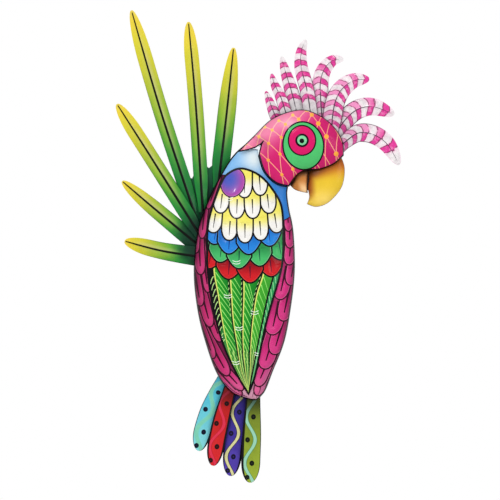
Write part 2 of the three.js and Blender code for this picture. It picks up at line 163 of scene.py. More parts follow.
def painted(name, colour, mottle=0.07, gloss=0.3, coat=0.1, shine=0.06, peel_depth=0.05):
    """A paint finish. The colour is plain, or a function that draws it with nodes."""
    made = bpy.data.materials.new(name)
    made.use_nodes = True
    tree = made.node_tree
    shader = tree.nodes["Principled BSDF"]
    skin = add_node(tree, "ShaderNodeGroup", node_tree=paint_skin)
    for label, value in (("Mottle", mottle), ("Gloss", gloss),
                         ("Colour", colour(tree) if callable(colour) else colour)):
        feed(tree, skin.inputs[label], value)
    bump = add_node(tree, "ShaderNodeBump", {
        "Height": skin.outputs["Height"], "Strength": 0.35, "Distance": peel_depth * MM})
    for label, value in (("Base Color", skin.outputs["Colour"]), ("Roughness", skin.outputs["Roughness"]),
                         ("Normal", bump.outputs[0]), ("Coat Weight", coat), ("Coat Roughness", 0.08),
                         ("Specular IOR Level", shine)):
        feed(tree, shader.inputs[label], value)
    return made


def piece(name, mesh, node):
    """Puts a finished mesh in the scene in place of its solid"""
    made = bpy.data.objects.new(name, mesh)
    scene.collection.objects.link(made)
    if node:
        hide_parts(node)
    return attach(made, "root")


def smooth(mesh, crease):
    """Smooth shading, broken at edges that turn by more than crease degrees"""
    mesh.polygons.foreach_set("use_smooth", [True] * len(mesh.polygons))
    mesh.set_sharp_from_angle(angle=math.radians(crease))


def eased(node, finish, edge=0.25):
    """The node's own shape with its cut edges broken"""
    work = bmesh.new()
    work.from_mesh(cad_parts[node].data)
    bmesh.ops.remove_doubles(work, verts=work.verts, dist=1e-6)
    bmesh.ops.dissolve_limit(work, angle_limit=math.radians(1), verts=work.verts, edges=work.edges)
    sharp = [e for e in work.edges if e.is_manifold and e.calc_face_angle() > SHARP]
    bmesh.ops.bevel(work, geom=sharp, offset=edge * MM, segments=2, profile=0.5, affect="EDGES",
                    clamp_overlap=True)
    mesh = bpy.data.meshes.new(node + "_finished")
    work.to_mesh(mesh)
    work.free()
    mesh.materials.append(finish)
    smooth(mesh, 32)
    return mesh


def iron_colour(tree):
    """Satin black, thin and brown where the dip has drained off"""
    return cloud(tree, 3.5, 5).ease(0.56, 0.74).mix(card(24, 24, 27), card(52, 43, 38))


iron_paint = painted("satin_black_iron", iron_colour, mottle=0.2, gloss=0.42, coat=0.0, shine=0.25,
                     peel_depth=0.12)
for node in IRON_NODES:
    piece(node + "_iron", eased(node, iron_paint), node)


def spline_at(points, t):
    """Points at shares t of a smooth line through the points of the pattern"""
    points = np.asarray(points, float)
    last = len(points) - 1
    along = np.clip(np.asarray(t, float), 0, 1) * last
    k = np.minimum(along.astype(int), last - 1)
    w = (along - k)[:, None]
    before, a = points[np.maximum(k - 1, 0)], points[k]
    b, after = points[k + 1], points[np.minimum(k + 2, last)]
    out_a, into_b = (b - before) / 2, (after - a) / 2
    return ((2 * a - 2 * b + out_a + into_b) * w**3 + (3 * b - 3 * a - 2 * out_a - into_b) * w**2
            + out_a * w + a)


def spline(points, per_span=12):
    """The whole of a smooth line through the points"""
    return spline_at(points, np.linspace(0, 1, (len(points) - 1) * per_span + 1))


def wire_mesh(name, runs):
    """Runs of points joined by edges, for a tree to follow"""
    joins = [(i, i + 1) for run, first in zip(runs, np.cumsum([0] + [len(r) for r in runs]))
             for i in range(first, first + len(run) - 1)]
    mesh = bpy.data.meshes.new(name)
    mesh.from_pydata([Vector(p) * MM for run in runs for p in run], joins, [])
    return mesh


def geometry_tree(name, sizes):
    """An empty geometry tree with named sizes, what it is given, and its end"""
    tree = bpy.data.node_groups.new(name, "GeometryNodeTree")
    for label, kind in {"Geometry": "Geometry", **sizes}.items():
        tree.interface.new_socket(label, in_out="INPUT", socket_type="NodeSocket" + kind)
    tree.interface.new_socket("Geometry", in_out="OUTPUT", socket_type="NodeSocketGeometry")
    start, end = tree.nodes.new("NodeGroupInput"), tree.nodes.new("NodeGroupOutput")
    return tree, {label: Flow(tree, start.outputs[label]) for label in ("Geometry", *sizes)}, end


def grown(name, mesh, tree, sizes, finishing=()):
    """The plain mesh that a geometry tree, and then a few modifiers, make of a mesh"""
    carrier = bpy.data.objects.new(name, mesh)
    scene.collection.objects.link(carrier)
    growth = carrier.modifiers.new("growth", "NODES")
    growth.node_group = tree
    for item in tree.interface.items_tree:
        if item.in_out == "INPUT" and item.name in sizes:
            growth[item.identifier] = sizes[item.name]
    for kind, settings in finishing:
        extra = carrier.modifiers.new(kind.lower(), kind)
        for label, value in settings.items():
            setattr(extra, label, value)
    graph = bpy.context.evaluated_depsgraph_get()
    result = bpy.data.meshes.new_from_object(carrier.evaluated_get(graph), depsgraph=graph)
    carrier.modifiers.clear()
    bpy.data.objects.remove(carrier)
    return result


# Weld beads: overlapping drops along short runs at the strip's edges
weld_tree, given, out = geometry_tree("weld run", {
    "Drop Radius": "Float", "Drop Step": "Float", "Seed": "Int", "Finish": "Material"})
line = add_node(weld_tree, "GeometryNodeMeshToCurve", {"Mesh": given["Geometry"]}).outputs[0]
line = add_node(weld_tree, "GeometryNodeResampleCurve", {"Curve": line, "Length": given["Drop Step"]},
                mode="LENGTH").outputs[0]
drop = add_node(weld_tree, "GeometryNodeMeshIcoSphere", {"Radius": given["Drop Radius"], "Subdivisions": 3})
uneven = add_node(weld_tree, "FunctionNodeRandomValue", {
    0: (0.85, 0.7, 0.85), 1: (1.2, 0.9, 1.2), "Seed": given["Seed"]}, data_type="FLOAT_VECTOR")
drops = add_node(weld_tree, "GeometryNodeInstanceOnPoints", {
    "Points": line, "Instance": drop.outputs["Mesh"], "Scale": uneven.outputs[0]})
solid = add_node(weld_tree, "GeometryNodeRealizeInstances", {"Geometry": drops.outputs[0]})
soft = add_node(weld_tree, "GeometryNodeSetShadeSmooth", {"Geometry": solid.outputs[0]})
coated = add_node(weld_tree, "GeometryNodeSetMaterial", {
    "Geometry": soft.outputs[0], "Material": given["Finish"]})
feed(weld_tree, out.inputs[0], coated.outputs[0])


def strip_edge(share, out, front, half_run):
    """A short run along the strip, so far out from its middle and in front of the wall"""
    length = np.linalg.norm(np.diff(spline(STRIP), axis=0), axis=1).sum()
    shares = share + np.linspace(-half_run, half_run, 9) / length
    line, ahead = spline_at(STRIP, shares), spline_at(STRIP, shares + 0.002)
    way = (ahead - line) / np.linalg.norm(ahead - line, axis=1)[:, None]
    return [(x - dz * out, -front, z + dx * out) for (x, z), (dx, dz) in zip(line, way)]


WELD_OUT = STRIP_HALF + 0.2  # a bead lies just off the strip's edge
WELDS = [  # share along the strip, side, distance from the wall, half length
    (0.035, 1, 1.6, 4.5), (0.035, -1, 1.6, 4.5), (0.52, 1, 1.6, 4.5), (0.47, 1, 1.6, 4.5),
    (0.47, -1, 1.6, 4.5), (0.775, 1, 1.2, 2.5),
]
weld_runs = [strip_edge(share, side * WELD_OUT, front, half) for share, side, front, half in WELDS]
weld_sizes = {"Drop Radius": 1.0 * MM, "Drop Step": 1.1 * MM, "Seed": 4, "Finish": iron_paint}
piece("weld_beads", grown("weld_runs", wire_mesh("weld_runs", weld_runs), weld_tree, weld_sizes),
      None)

# Palm frond
# Six long leaflets, each a strip of sheet folded along its midrib with a rounded
# tip, spot-welded to a web behind the bird. Sprayed from dark green at the root
# to yellow at the tip, with the midrib lined in black.
LEAF = {"Half Width": 6.4, "Fold": 1.6, "Lean": 7.0, "Root Share": 0.6, "Swell": 0.2}
LEAF_SEATS = {"front": 6.6, "rear": 3.8}
LEAVES = [  # spine, width, layer, length of the tip's curve, length of the spray from the tip, other shares
    ([(-22.2, -39.2), (-64.6, -33), (-96, -24.9)], 1.02, "front", 21.84, 58,
     {"Root Share": 1.24, "Swell": 0.8}),
    ([(-33.6, -31.2), (-71.6, 0.4), (-98, 22.9)], 0.97, "rear", 36.12, 76,
     {"Root Share": 1.14, "Swell": 0.8}),
    ([(-33.6, -24), (-76.2, 43.9), (-102.1, 84.4)], 0.95, "front", 28.14, 121, {}),
    ([(-38, -9.6), (-66.4, 76), (-90.6, 159.2)], 0.95, "rear", 42, 166, {}),
    ([(-33.6, -1.6), (-39.3, 84), (-45.1, 149.9)], 0.9, "front", 29.82, 156, {}),
    ([(-21.6, 17.6), (-14.8, 76), (-9.1, 129.4)], 1.13, "rear", 55.02, 102, {}),
]
LEAF_GREENS = [  # from the tip to where the spray is darkest
    (0.0, card(226, 204, 84)), (0.06, card(230, 206, 66)), (0.15, card(214, 204, 56)),
    (0.28, card(198, 196, 54)), (0.4, card(168, 186, 56)), (0.52, card(142, 180, 54)),
    (0.64, card(104, 166, 54)), (0.74, card(60, 146, 58)), (0.84, card(36, 124, 56)),
    (1.0, card(24, 100, 52)),
]
# Painted shade: the leaflets' roots and the web darken round these places, where they go under the bird
FAN_MIDDLE = (-0.028, 0, -0.025)  # the leaflets' roots are dark round this place, in metres
WEB_MIDDLE = (-0.024, 0, -0.012)  # and the web round this one
BLADE_LENGTHS = (
    "Half Width", "Fold", "Lean", "Tip Length", "Seat", "Sheet", "Rib", "Mark Start", "Mark Step",
)
BLADE_SHARES = ("Root Share", "Swell", "Mark Close")

# A blade: a grid laid along a spine, with its width, fold and lean by rule
blade_tree, given, out = geometry_tree("folded blade", {
    **{label: "Float" for label in (*BLADE_LENGTHS, *BLADE_SHARES)}, "Finish": "Material"})
spine = add_node(blade_tree, "GeometryNodeMeshToCurve", {"Mesh": given["Geometry"]}).outputs[0]
grid = add_node(blade_tree, "GeometryNodeMeshGrid", {
    "Size X": 1.0, "Size Y": 1.0, "Vertices X": 19, "Vertices Y": 84})
spot = add_node(blade_tree, "ShaderNodeSeparateXYZ", {
    0: add_node(blade_tree, "GeometryNodeInputPosition").outputs[0]})
share = Flow(blade_tree, spot.outputs[0]) * 2
left_over = (0.5 - Flow(blade_tree, spot.outputs[1])).sum("POWER", 1.5)
along = 1 - left_over
length = Flow(blade_tree, add_node(blade_tree, "GeometryNodeCurveLength", {0: spine}).outputs[0])
to_tip = (1 - left_over * length / given["Tip Length"]).sum("MAXIMUM", 0.0)
full = given["Root Share"] + (1 - given["Root Share"]) * along.ease(0.0, given["Swell"])
width = given["Half Width"] * full * (1 - to_tip * to_tip * 0.985).sum("SQRT")
aside = share * width
tent = 1.04 - (share * share + 0.0016).sum("SQRT")
crease = given["Fold"] * (left_over * 5 + 0.2).sum("MINIMUM", 1.0)
rib = given["Rib"] * abs(aside).ease(1.1 * MM, 0.3 * MM) * along.ease(0.99, 0.9)
back = given["Seat"] + given["Lean"] * along.ease(0.35, 1.4) * 1.6
front = back + crease * tent + given["Sheet"] + rib
taken = add_node(blade_tree, "GeometryNodeSampleCurve", {"Curves": spine, "Factor": along}, mode="FACTOR")
at = add_node(blade_tree, "ShaderNodeSeparateXYZ", {0: taken.outputs["Position"]})
way = add_node(blade_tree, "ShaderNodeSeparateXYZ", {0: taken.outputs["Tangent"]})
x, z, dx, dz = (Flow(blade_tree, socket) for socket in (
    at.outputs[0], at.outputs[2], way.outputs[0], way.outputs[2]))
target = add_node(blade_tree, "ShaderNodeCombineXYZ", {
    0: x - dz * aside, 1: front * -1, 2: z + dx * aside})
count = (left_over * length - given["Mark Start"]) / given["Mark Step"]
marks = {  # what the finishes read: shares along and across, millimetres across, a count from the tip
    "along": along, "share": share, "aside": aside * (1 / MM),
    "mark": count + count * count * given["Mark Close"],
}
sheet = grid.outputs["Mesh"]
for label, value in marks.items():
    sheet = add_node(blade_tree, "GeometryNodeStoreNamedAttribute", {
        "Geometry": sheet, "Name": label, "Value": value}, data_type="FLOAT", domain="POINT").outputs[0]
for kind, inputs in (
    ("GeometryNodeSetPosition", {"Position": target.outputs[0]}), ("GeometryNodeFlipFaces", {}),
    ("GeometryNodeRealizeInstances", {}), ("GeometryNodeSetShadeSmooth", {}),
    ("GeometryNodeSetMaterial", {"Material": given["Finish"]}),
):
    sheet = add_node(blade_tree, kind, {0: sheet, **inputs}).outputs[0]
feed(blade_tree, out.inputs[0], sheet)


def black_back(mesh):
    """The side towards the wall is left in the black undercoat"""
    mesh.materials.append(iron_paint)
    for face in mesh.polygons:
        if face.normal.y > 0.3:
            face.material_index = len(mesh.materials) - 1


def blade(name, node, spine, half, seat, form, finish, mark, rib=0.0):
    """A folded blade along its spine. The mark says where its count starts from the tip,
    its step, and how fast the steps close up."""
    sizes = {**form, "Half Width": half, "Seat": seat, "Sheet": SHEET, "Rib": rib,
             "Mark Start": mark[0], "Mark Step": mark[1], "Mark Close": mark[2]}
    sizes = {label: value * (MM if label in BLADE_LENGTHS else 1.0) for label, value in sizes.items()}
    line = wire_mesh(name, [[(x, 0, z) for x, z in spline(spine, 24)]])
    mesh = grown(name, line, blade_tree, {**sizes, "Finish": finish}, (
        ("SOLIDIFY", {"thickness": SHEET * MM, "offset": -1.0, "use_even_offset": True}),
        ("BEVEL", {"width": 0.22 * MM, "segments": 2, "limit_method": "ANGLE", "angle_limit": SHARP}),
    ))
    black_back(mesh)
    smooth(mesh, 40)
    return piece(name, mesh, node)


def reading(tree, label):
    """A value stored on the piece's own mesh"""
    return Flow(tree, add_node(tree, "ShaderNodeAttribute", attribute_name=label).outputs["Fac"])


def ramp(tree, value, stops):
    """A colour between stops"""
    made = add_node(tree, "ShaderNodeValToRGB", {0: value})
    steps = made.color_ramp.elements
    steps[0].position, steps[0].color = stops[0]
    steps[1].position, steps[1].color = stops[-1]
    for position, colour in stops[1:-1]:
        steps.new(position).color = colour
    return Flow(tree, made.outputs[0])


def off_fan(tree, middle):
    """How far a place is from the middle of the fan, a little uneven"""
    place = add_node(tree, "ShaderNodeTexCoord").outputs["Object"]
    away = add_node(tree, "ShaderNodeVectorMath", {0: place, 1: middle}, operation="DISTANCE")
    return Flow(tree, away.outputs["Value"]) + (cloud(tree, 6) - 0.5) * 0.008


def leaf_colour(tree):
    """The spray from tip to root, a painted highlight beside the midrib that is stronger on one side
    of the fold, dark at the edges and the root, painted shade where the roots go under the bird,
    and the midrib's black line"""
    along, share, aside, mark = (reading(tree, label) for label in ("along", "share", "aside", "mark"))
    green = ramp(tree, mark + (cloud(tree, 9) - 0.5) * 0.08, LEAF_GREENS)
    middle = mark.ease(0.04, 0.3) * mark.ease(0.88, 0.52)
    # Painted highlights beside the midrib, stronger on one side of the fold
    highlight = middle * aside.ease(-4.4, -1.4) * aside.ease(0.4, -0.6)
    green = (highlight * 0.42).mix(green, card(206, 198, 142))
    highlight = middle * aside.ease(4.0, 1.4) * aside.ease(-0.4, 0.6)
    green = (highlight * 0.2).mix(green, card(196, 206, 120))
    edge = share.ease(0.5, 1.0) * 0.62 + share.ease(-0.66, -1.0) * 0.5
    green = (edge * mark.ease(0.28, 0.66)).mix(green, card(20, 136, 54))
    green = (abs(share).ease(0.92, 0.98) * mark.ease(0.1, 0.5) * 0.75).mix(green, card(8, 36, 14))
    # Painted shade at the roots, where the leaflets go under the bird
    green = (off_fan(tree, FAN_MIDDLE).ease(0.035, 0.019) * 0.9).mix(green, card(16, 46, 38))
    line_half = (1 - along).sum("POWER", 0.45) * 0.75 + 0.34
    rib = abs(aside + (cloud(tree, 2.2) - 0.5) * 0.2) - line_half
    return (rib.ease(0.16, -0.16) * along.ease(0.995, 0.985)).mix(green, card(4, 8, 4))


leaf_paint = painted("leaf_spray", leaf_colour, gloss=0.34)
for k, (line, wide, layer, tip, spray, form) in enumerate(LEAVES, 1):
    blade(f"leaflet_{k}", f"palm_leaf_{k}", line, LEAF["Half Width"] * wide,
          LEAF_SEATS[layer], {**LEAF, "Tip Length": tip, **form}, leaf_paint, mark=(0, spray, 0), rib=0.25)


def web_colour(tree):
    """Painted shade, dark at the middle of the fan where it lies under the bird, and green towards its edge
    """
    return ramp(tree, off_fan(tree, WEB_MIDDLE) * 12, [
        (0.0, card(12, 40, 38)), (0.3, card(16, 58, 48)), (0.7, card(38, 122, 70))])


web_paint = painted("web_spray", web_colour, gloss=0.36)
web = eased("palm_base", web_paint)
black_back(web)
piece("frond_web", web, "palm_base")

# Tail feathers
# Four feathers with round ends, each a lightly folded strip of sheet welded to
# the tail plate. Each has its own ground colour, four ringed dots and a wavy
# ribbon, painted by hand and edged in black.
TAIL = {"Half Width": 6.7, "Fold": 1.2, "Lean": 2.5, "Tip Length": 17, "Root Share": 0.7, "Swell": 0.6}
TAIL_SEATS = {"front": 7.0, "rear": 3.8}
TAIL_WAVE = 37.0  # length of one wave of the ribbon
TAIL_TURN = 15.5  # the ribbon's last turn, so far from the tip
RIBBON_SWING = 3.9  # to each side of its middle, which lies a little left of the fold
RIBBON_LEFT = 1.0
DOT_SWING = 2.0  # the dots stand in the ribbon's bends, on both sides of their own middle
DOT_LEFT = 1.1
LAST_DOT = 4.2  # from the tip, and so far left
LAST_DOT_LEFT = 2.5
# Each feather: spine, width, layer, where the black edges start on the left and right as
# shares of the half width, how fast the waves close up towards the root, how dark the painted
# shade at the root is
TAILS = [
    ([(-13.2, -128), (-21.5, -144), (-29.1, -161.6), (-34.2, -178.4), (-37, -192.4)], 1.08, "rear",
     (0.9, 0.76), 0.1, 0.1),
    ([(-9.6, -134.4), (-17.4, -161.6), (-22.4, -184), (-25.6, -204.2)], 1.02, "front",
     (0.76, 0.75), 0.05, 0.6),
    ([(-1.6, -137.6), (-5.8, -164), (-9.2, -188), (-11.6, -212.5)], 1.12, "rear",
     (0.86, 0.76), 0.03, 0.25),
    ([(7.2, -138), (5.9, -164), (4.9, -192), (4.1, -217.7)], 1.14, "front", (0.72, 0.9), 0.0, 0.7),
]
TAIL_COLOURS = [  # ground at the root and the tip, ribbon, ribbon's edge, dot, dot's middle
    ((78, 182, 204), (126, 206, 212), (120, 198, 172), (114, 200, 194), (4, 8, 30), (10, 22, 56)),
    ((182, 30, 30), (206, 38, 42), (212, 48, 74), (170, 18, 38), (22, 4, 6), (84, 16, 18)),
    ((54, 42, 134), (80, 62, 164), (210, 206, 150), (14, 10, 34), (12, 8, 34), (46, 34, 108)),
    ((116, 134, 40), (146, 166, 50), (148, 202, 174), (48, 116, 66), (4, 6, 4), (34, 48, 26)),
]
RIBBONS = [  # half width, edge, softness
    (1.7, 0.4, 1.5), (1.2, 0.4, 0.3), (1.2, 0.55, 0.2), (1.3, 0.4, 0.25),
]


def tail_colour(black_edges, painted_root_shade, ribbon_form, ground, tip, ribbon, ribbon_edge, dot, dot_middle):
    """A clouded ground, the wavy ribbon, dots in its bends, black edges and painted shade at the root,
    under the body
    """
    def colour(tree):
        along, share, aside, mark = (reading(tree, label) for label in ("along", "share", "aside", "mark"))
        paint = (along + (cloud(tree, 8) - 0.5) * 0.5).ease(0.3, 1.0).mix(card(*ground), card(*tip))
        wave = (mark * (2 * math.pi)).sum("COSINE")
        off_ribbon = abs(aside + wave * RIBBON_SWING + RIBBON_LEFT)
        half, edging, soft = ribbon_form
        for reach, tint in ((half + edging, ribbon_edge), (half, ribbon)):
            paint = off_ribbon.ease(reach + soft / 2, reach - soft / 2).mix(paint, card(*tint))
        count = (mark * 2).sum("ROUND").sum("MAXIMUM", 0.0)
        ahead = (mark * 2 - count) * (TAIL_WAVE / 2)
        beside = aside - (count * math.pi).sum("COSINE") * DOT_SWING + DOT_LEFT
        off_dot = (ahead * ahead * 0.8 + beside * beside).sum("SQRT")
        ahead = (mark + (TAIL_TURN - LAST_DOT) / TAIL_WAVE) * TAIL_WAVE
        beside = aside + LAST_DOT_LEFT
        off_dot = off_dot.sum("MINIMUM", (ahead * ahead + beside * beside).sum("SQRT"))
        paint = off_dot.ease(2.05, 1.8).mix(paint, card(*dot))
        paint = off_dot.ease(0.7, 0.4).mix(paint, card(*dot_middle))
        left, right = black_edges
        edge = share.ease(right, right + 0.05).sum("MAXIMUM", share.ease(-left, -left - 0.05))
        # Painted shade at the root, where the feather goes under the body
        root = along.ease(0.4, 0.2)
        return edge.sum("MAXIMUM", root * painted_root_shade).mix(paint, card(10, 6, 12))
    return colour


for k, ((line, wide, layer, black_edges, closing, painted_root_shade), form, colours) in enumerate(
        zip(TAILS, RIBBONS, TAIL_COLOURS), 1):
    tail_paint = painted(f"tail_enamel_{k}", tail_colour(black_edges, painted_root_shade, form, *colours))
    blade(f"tail_plume_{k}", f"tail_feather_{k}", line, TAIL["Half Width"] * wide,
          TAIL_SEATS[layer], TAIL, tail_paint, mark=(TAIL_TURN, TAIL_WAVE, closing))

# Body shell
# One sheet pressed into a long dome, open at the back, that narrows into the
# neck. Magenta scale feathers are printed along both flanks, each pressed up a
# little between its ink lines, and the neck is washed in blue.
BODY_RIM, BODY_DEPTH, NECK_DEPTH = 9.4, 18.0, 7.5
BODY_LEFT = [(4.8, -151.9), (-10.9, -145.8), (-22.6, -130.6), (-31.7, -105.6), (-38, -80), (-41, -49.6),
             (-38.2, -17.6), (-31.4, 3.2), (-21.9, 23.4), (-7.6, 45.6), (13.6, 62)]
BODY_RIGHT = [(9.4, -151.9), (16, -144.8), (22.4, -128.8), (31.4, -105.6), (36.4, -80), (39.8, -49.6),
              (38.8, -17.6), (35.2, 1.6), (33.8, 12.8), (34.4, 19.2), (33.2, 27.2)]
WING_RIGHT = [(2.8, -147.4), (8.2, -133.2), (12.5, -112.8), (16.8, -92.4), (22.1, -73.2), (27, -56.9),
              (30.4, -40.6), (31, -22), (29.6, 2.4), (22, 17), (11.6, 28), (-2, 33.4)]
WING_LEFT = [(-2, 33.4), (-12.4, 30.2), (-19.4, 21.4), (-29.2, -8), (-30.6, -36), (-29.4, -56),
             (-25.4, -80), (-17.8, -107), (-7.3, -130.3), (2.8, -147.4)]
HEAD_SIDES = [
    [(-5.2, 46.8), (5.6, 57.6), (22.4, 73.2), (44, 80), (60, 75.2), (72, 65.2), (78, 54), (78.8, 43.2)],
    [(78.8, 43.2), (71.2, 36.4), (60, 32), (48.8, 30.8), (41.6, 27.2), (35.2, 18.4)],
    [(35.2, 18.4), (24.6, 21.2), (15.4, 30.2), (11, 43.2), (8.8, 48.4), (-5.2, 46.8)],
]
INK = (8, 4, 10)
MAROON = (52, 2, 28)
PRESSED_EDGE = 1.3  # the pressed relief falls to an ink line over about this width
FINE_REACH, FINE_STEP = 2.4, 0.32  # a finer mesh round small details


def outline_of(sides, per_span=10):
    """A closed outline of splines that meet at corners"""
    return np.concatenate([spline(side, per_span)[:-1] for side in sides])


def mixed(first, second, share):
    """Paint between two card colours, or colours for each point, by each point's share"""
    share = np.clip(share, 0, 1)[:, None]
    return np.asarray(first, float) * (1 - share) + np.asarray(second, float) * share


def rise(values, low, high):
    """0 before low, 1 after high, and smooth between"""
    t = np.clip((np.asarray(values, float) - low) / (high - low), 0, 1)
    return t * t * (3 - 2 * t)


def body_half(t):
    """Half the body's width at shares t of its length"""
    return np.linalg.norm(spline_at(BODY_RIGHT, t) - spline_at(BODY_LEFT, t), axis=1) / 2


def body_section(points, grow=0.0):
    """For each point: the middle of the dome's cross line there, how far out the
    point is as a share of the half width, and the height of the dome"""
    low, high = np.zeros(len(points)), np.ones(len(points))
    for _ in range(30):
        t = (low + high) / 2
        left = spline_at(BODY_LEFT, t)
        reach, way = spline_at(BODY_RIGHT, t) - left, points - left
        above = reach[:, 0] * way[:, 1] > reach[:, 1] * way[:, 0]
        low, high = np.where(above, t, low), np.where(above, high, t)
    middle = (spline_at(BODY_LEFT, low) + spline_at(BODY_RIGHT, low)) / 2
    half = body_half(low)
    depth = BODY_DEPTH * np.sqrt(half / body_half(np.array([0.5])))
    depth += (NECK_DEPTH - depth) * rise(low, 0.55, 0.87)
    share = np.linalg.norm(points - middle, axis=1) / (half + grow)
    return middle, share, depth + grow


def inside(points, shape):
    """Which points lie within a closed shape"""
    within = np.zeros(len(points), bool)
    near = np.flatnonzero(((points >= shape.min(0)) & (points <= shape.max(0))).all(1))
    x, z = points[near, 0], points[near, 1]
    odd = np.zeros(len(near), bool)
    for (ax, az), (bx, bz) in zip(shape, np.roll(shape, -1, 0)):
        if az != bz:
            odd ^= ((az > z) != (bz > z)) & (x < ax + (z - az) * (bx - ax) / (bz - az))
    within[near] = odd
    return within


def inset(shape, by):
    """The shape drawn in by a line's width, or out if by is negative"""
    sides = np.roll(shape, -1, 0) - shape
    sides /= np.maximum(np.linalg.norm(sides, axis=1), 1e-9)[:, None]
    inward = np.stack([-sides[:, 1], sides[:, 0]], 1)
    area = (shape[:, 0] * np.roll(shape[:, 1], -1) - np.roll(shape[:, 0], -1) * shape[:, 1]).sum()
    inward *= np.sign(area)
    corner = inward + np.roll(inward, 1, 0)
    size = np.maximum(np.linalg.norm(corner, axis=1), 1e-9)
    return shape + corner / size[:, None] * (by * np.minimum(2 / size, 1.6))[:, None]


def scallop(bottom, way, width, length, bluntness=0.8, arched=False):
    """A feather's end: straight sides and a round or arched bottom, lying along way"""
    s = np.sin(np.linspace(-math.pi / 2, math.pi / 2, 25))
    up = bluntness * width * (s**2 if arched else 1 - np.sqrt(np.maximum(1 - np.abs(s) ** 2.2, 0)))
    side = np.linspace(up[-1], length, max(3, int(length / 1.6)))[1:]
    x = np.concatenate([s * width / 2, np.full(len(side), width / 2), np.full(len(side), -width / 2)])
    y = np.concatenate([up, side, side[::-1]])
    way = np.asarray(way, float) / np.linalg.norm(way)
    return np.asarray(bottom, float) + x[:, None] * np.array([-way[1], way[0]]) - y[:, None] * way


def stroke(points, start, end):
    """A brush stroke along points, so wide at its start and its end"""
    points = np.asarray(points, float)
    way = np.gradient(points, axis=0)
    way /= np.linalg.norm(way, axis=1)[:, None]
    side = np.stack([-way[:, 1], way[:, 0]], 1) * np.linspace(start, end, len(points))[:, None] / 2
    tip = points[-1] + way[-1] * end / 2
    return np.concatenate([points + side, [tip], (points - side)[::-1]])


def disc(centre, wide, high=None, turn=0.0, count=40):
    """A round or oval shape, turned by an angle"""
    a = np.linspace(0, 2 * math.pi, count, endpoint=False)
    flat = np.stack([np.cos(a) * wide, np.sin(a) * (high or wide)], 1)
    c, s = math.cos(turn), math.sin(turn)
    return np.asarray(centre, float) + flat @ np.array([[c, s], [-s, c]])


def inked(print_cells, shape, colour, ink, line, height, edge=None):
    """Adds a shape to a print: its ink line, an edge of some colour and width if it has
    one, and its colour"""
    print_cells.append((shape, ink, 0.0))
    shape = inset(shape, line)
    if edge:
        print_cells.append((shape, edge[0], height))
        shape = inset(shape, edge[1])
    print_cells.append((shape, colour, height))


def spread(points, section, turn):
    """Points moved out along their cross lines so that steep sides lie open, or back"""
    middle, share, _ = section(points)
    share = np.clip(share, 1e-6, 1)
    return middle + (points - middle) * (turn(share) / share)[:, None]


def hex_points(low, high, step):
    """Evenly spread points in a rectangle"""
    rows = []
    for k, z in enumerate(np.arange(low[1], high[1], step * 0.866)):
        x = np.arange(low[0] + (k % 2) * step / 2, high[0], step)
        rows.append(np.stack([x, np.full(len(x), z)], 1))
    return np.concatenate(rows)


def off_nearest(points, places):
    """How far each point is from the nearest of some places"""
    tree = KDTree(len(places))
    for i, (x, z) in enumerate(places):
        tree.insert((x, z, 0), i)
    tree.balance()
    return np.array([tree.find((x, z, 0))[2] for x, z in points])


def loose_points(edge, loops, step, fine):
    """Evenly spread points within an edge, closer round the places in fine, off the lines"""
    grids = [hex_points(edge.min(0), edge.max(0), step)]
    grids += [hex_points(place - FINE_REACH, place + FINE_REACH, FINE_STEP) for place in fine]
    points = np.concatenate(grids)
    points = points[inside(points, edge)]
    return points[off_nearest(points, np.concatenate(loops)) > 0.3 * step]


def cut_faces(loops, points):
    """Triangles over closed lines and loose points, cut along the lines"""
    firsts = np.cumsum([0] + [len(loop) for loop in loops])
    joins = [(first + i, first + (i + 1) % len(loop)) for first, loop in zip(firsts, loops)
             for i in range(len(loop))]
    places = [Vector(p) for p in (*np.concatenate(loops), *points)]
    spots, _, faces = delaunay_2d_cdt(places, joins, [], 0, 1e-4, False)[:3]
    spots, faces = np.array(spots, float), np.array(faces)
    corners = spots[faces]
    turned = np.cross(corners[:, 1] - corners[:, 0], corners[:, 2] - corners[:, 0]) < 0
    faces[turned] = faces[turned][:, ::-1]
    return spots, faces


def face_sides(faces):
    """Each side of the faces, with the faces it belongs to and the way it runs in them"""
    sides = {}
    for k, (a, b, c) in enumerate(faces):
        for pair in ((a, b), (b, c), (c, a)):
            sides.setdefault((min(pair), max(pair)), []).append((k, pair))
    return sides


def at_corners(faces, values, count):
    """At each of so many places, the sum of the values of the faces round it"""
    total = np.zeros((count, *np.shape(values)[1:]))
    for corner in faces.T:
        np.add.at(total, corner, values)
    return total


def pressed_up(flat, faces, heights, sides):
    """The pressed relief: up by a cell's height inside it, and down along its ink"""
    lines = [pair for pair, owners in sides.items()
             if len(owners) == 1 or (heights[owners[0][0]] == 0) != (heights[owners[1][0]] == 0)]
    first, second = np.array(lines).T
    off_line = off_nearest(flat, np.concatenate([flat[first], (flat[first] + flat[second]) / 2]))
    count = at_corners(faces, np.ones(len(faces)), len(flat))
    mean = at_corners(faces, heights, len(flat)) / count
    return mean * (1 - np.exp(-(off_line / PRESSED_EDGE) ** 2))


def lay_print(mesh, flat, faces, cell, colours):
    """Colours each corner of the front faces by its cell of the print. The rest is ink."""
    corners = np.tile(card(*INK), (len(mesh.loops), 1))
    for k in np.unique(cell):
        owners = np.flatnonzero(cell == k)
        spots = flat[faces[owners].ravel()]
        shade = colours[k](spots) if callable(colours[k]) else np.tile(colours[k], (len(spots), 1))
        c = np.clip(shade, 0, 255) / 255
        slots = (owners[:, None] * 3 + np.arange(3)).ravel()
        corners[slots, :3] = np.where(c > 0.04, ((c + 0.055) / 1.055) ** 2.4, c / 12.92)
    layer = mesh.color_attributes.new("print", "FLOAT_COLOR", "CORNER")
    layer.data.foreach_set("color", corners.astype(np.float32).ravel())


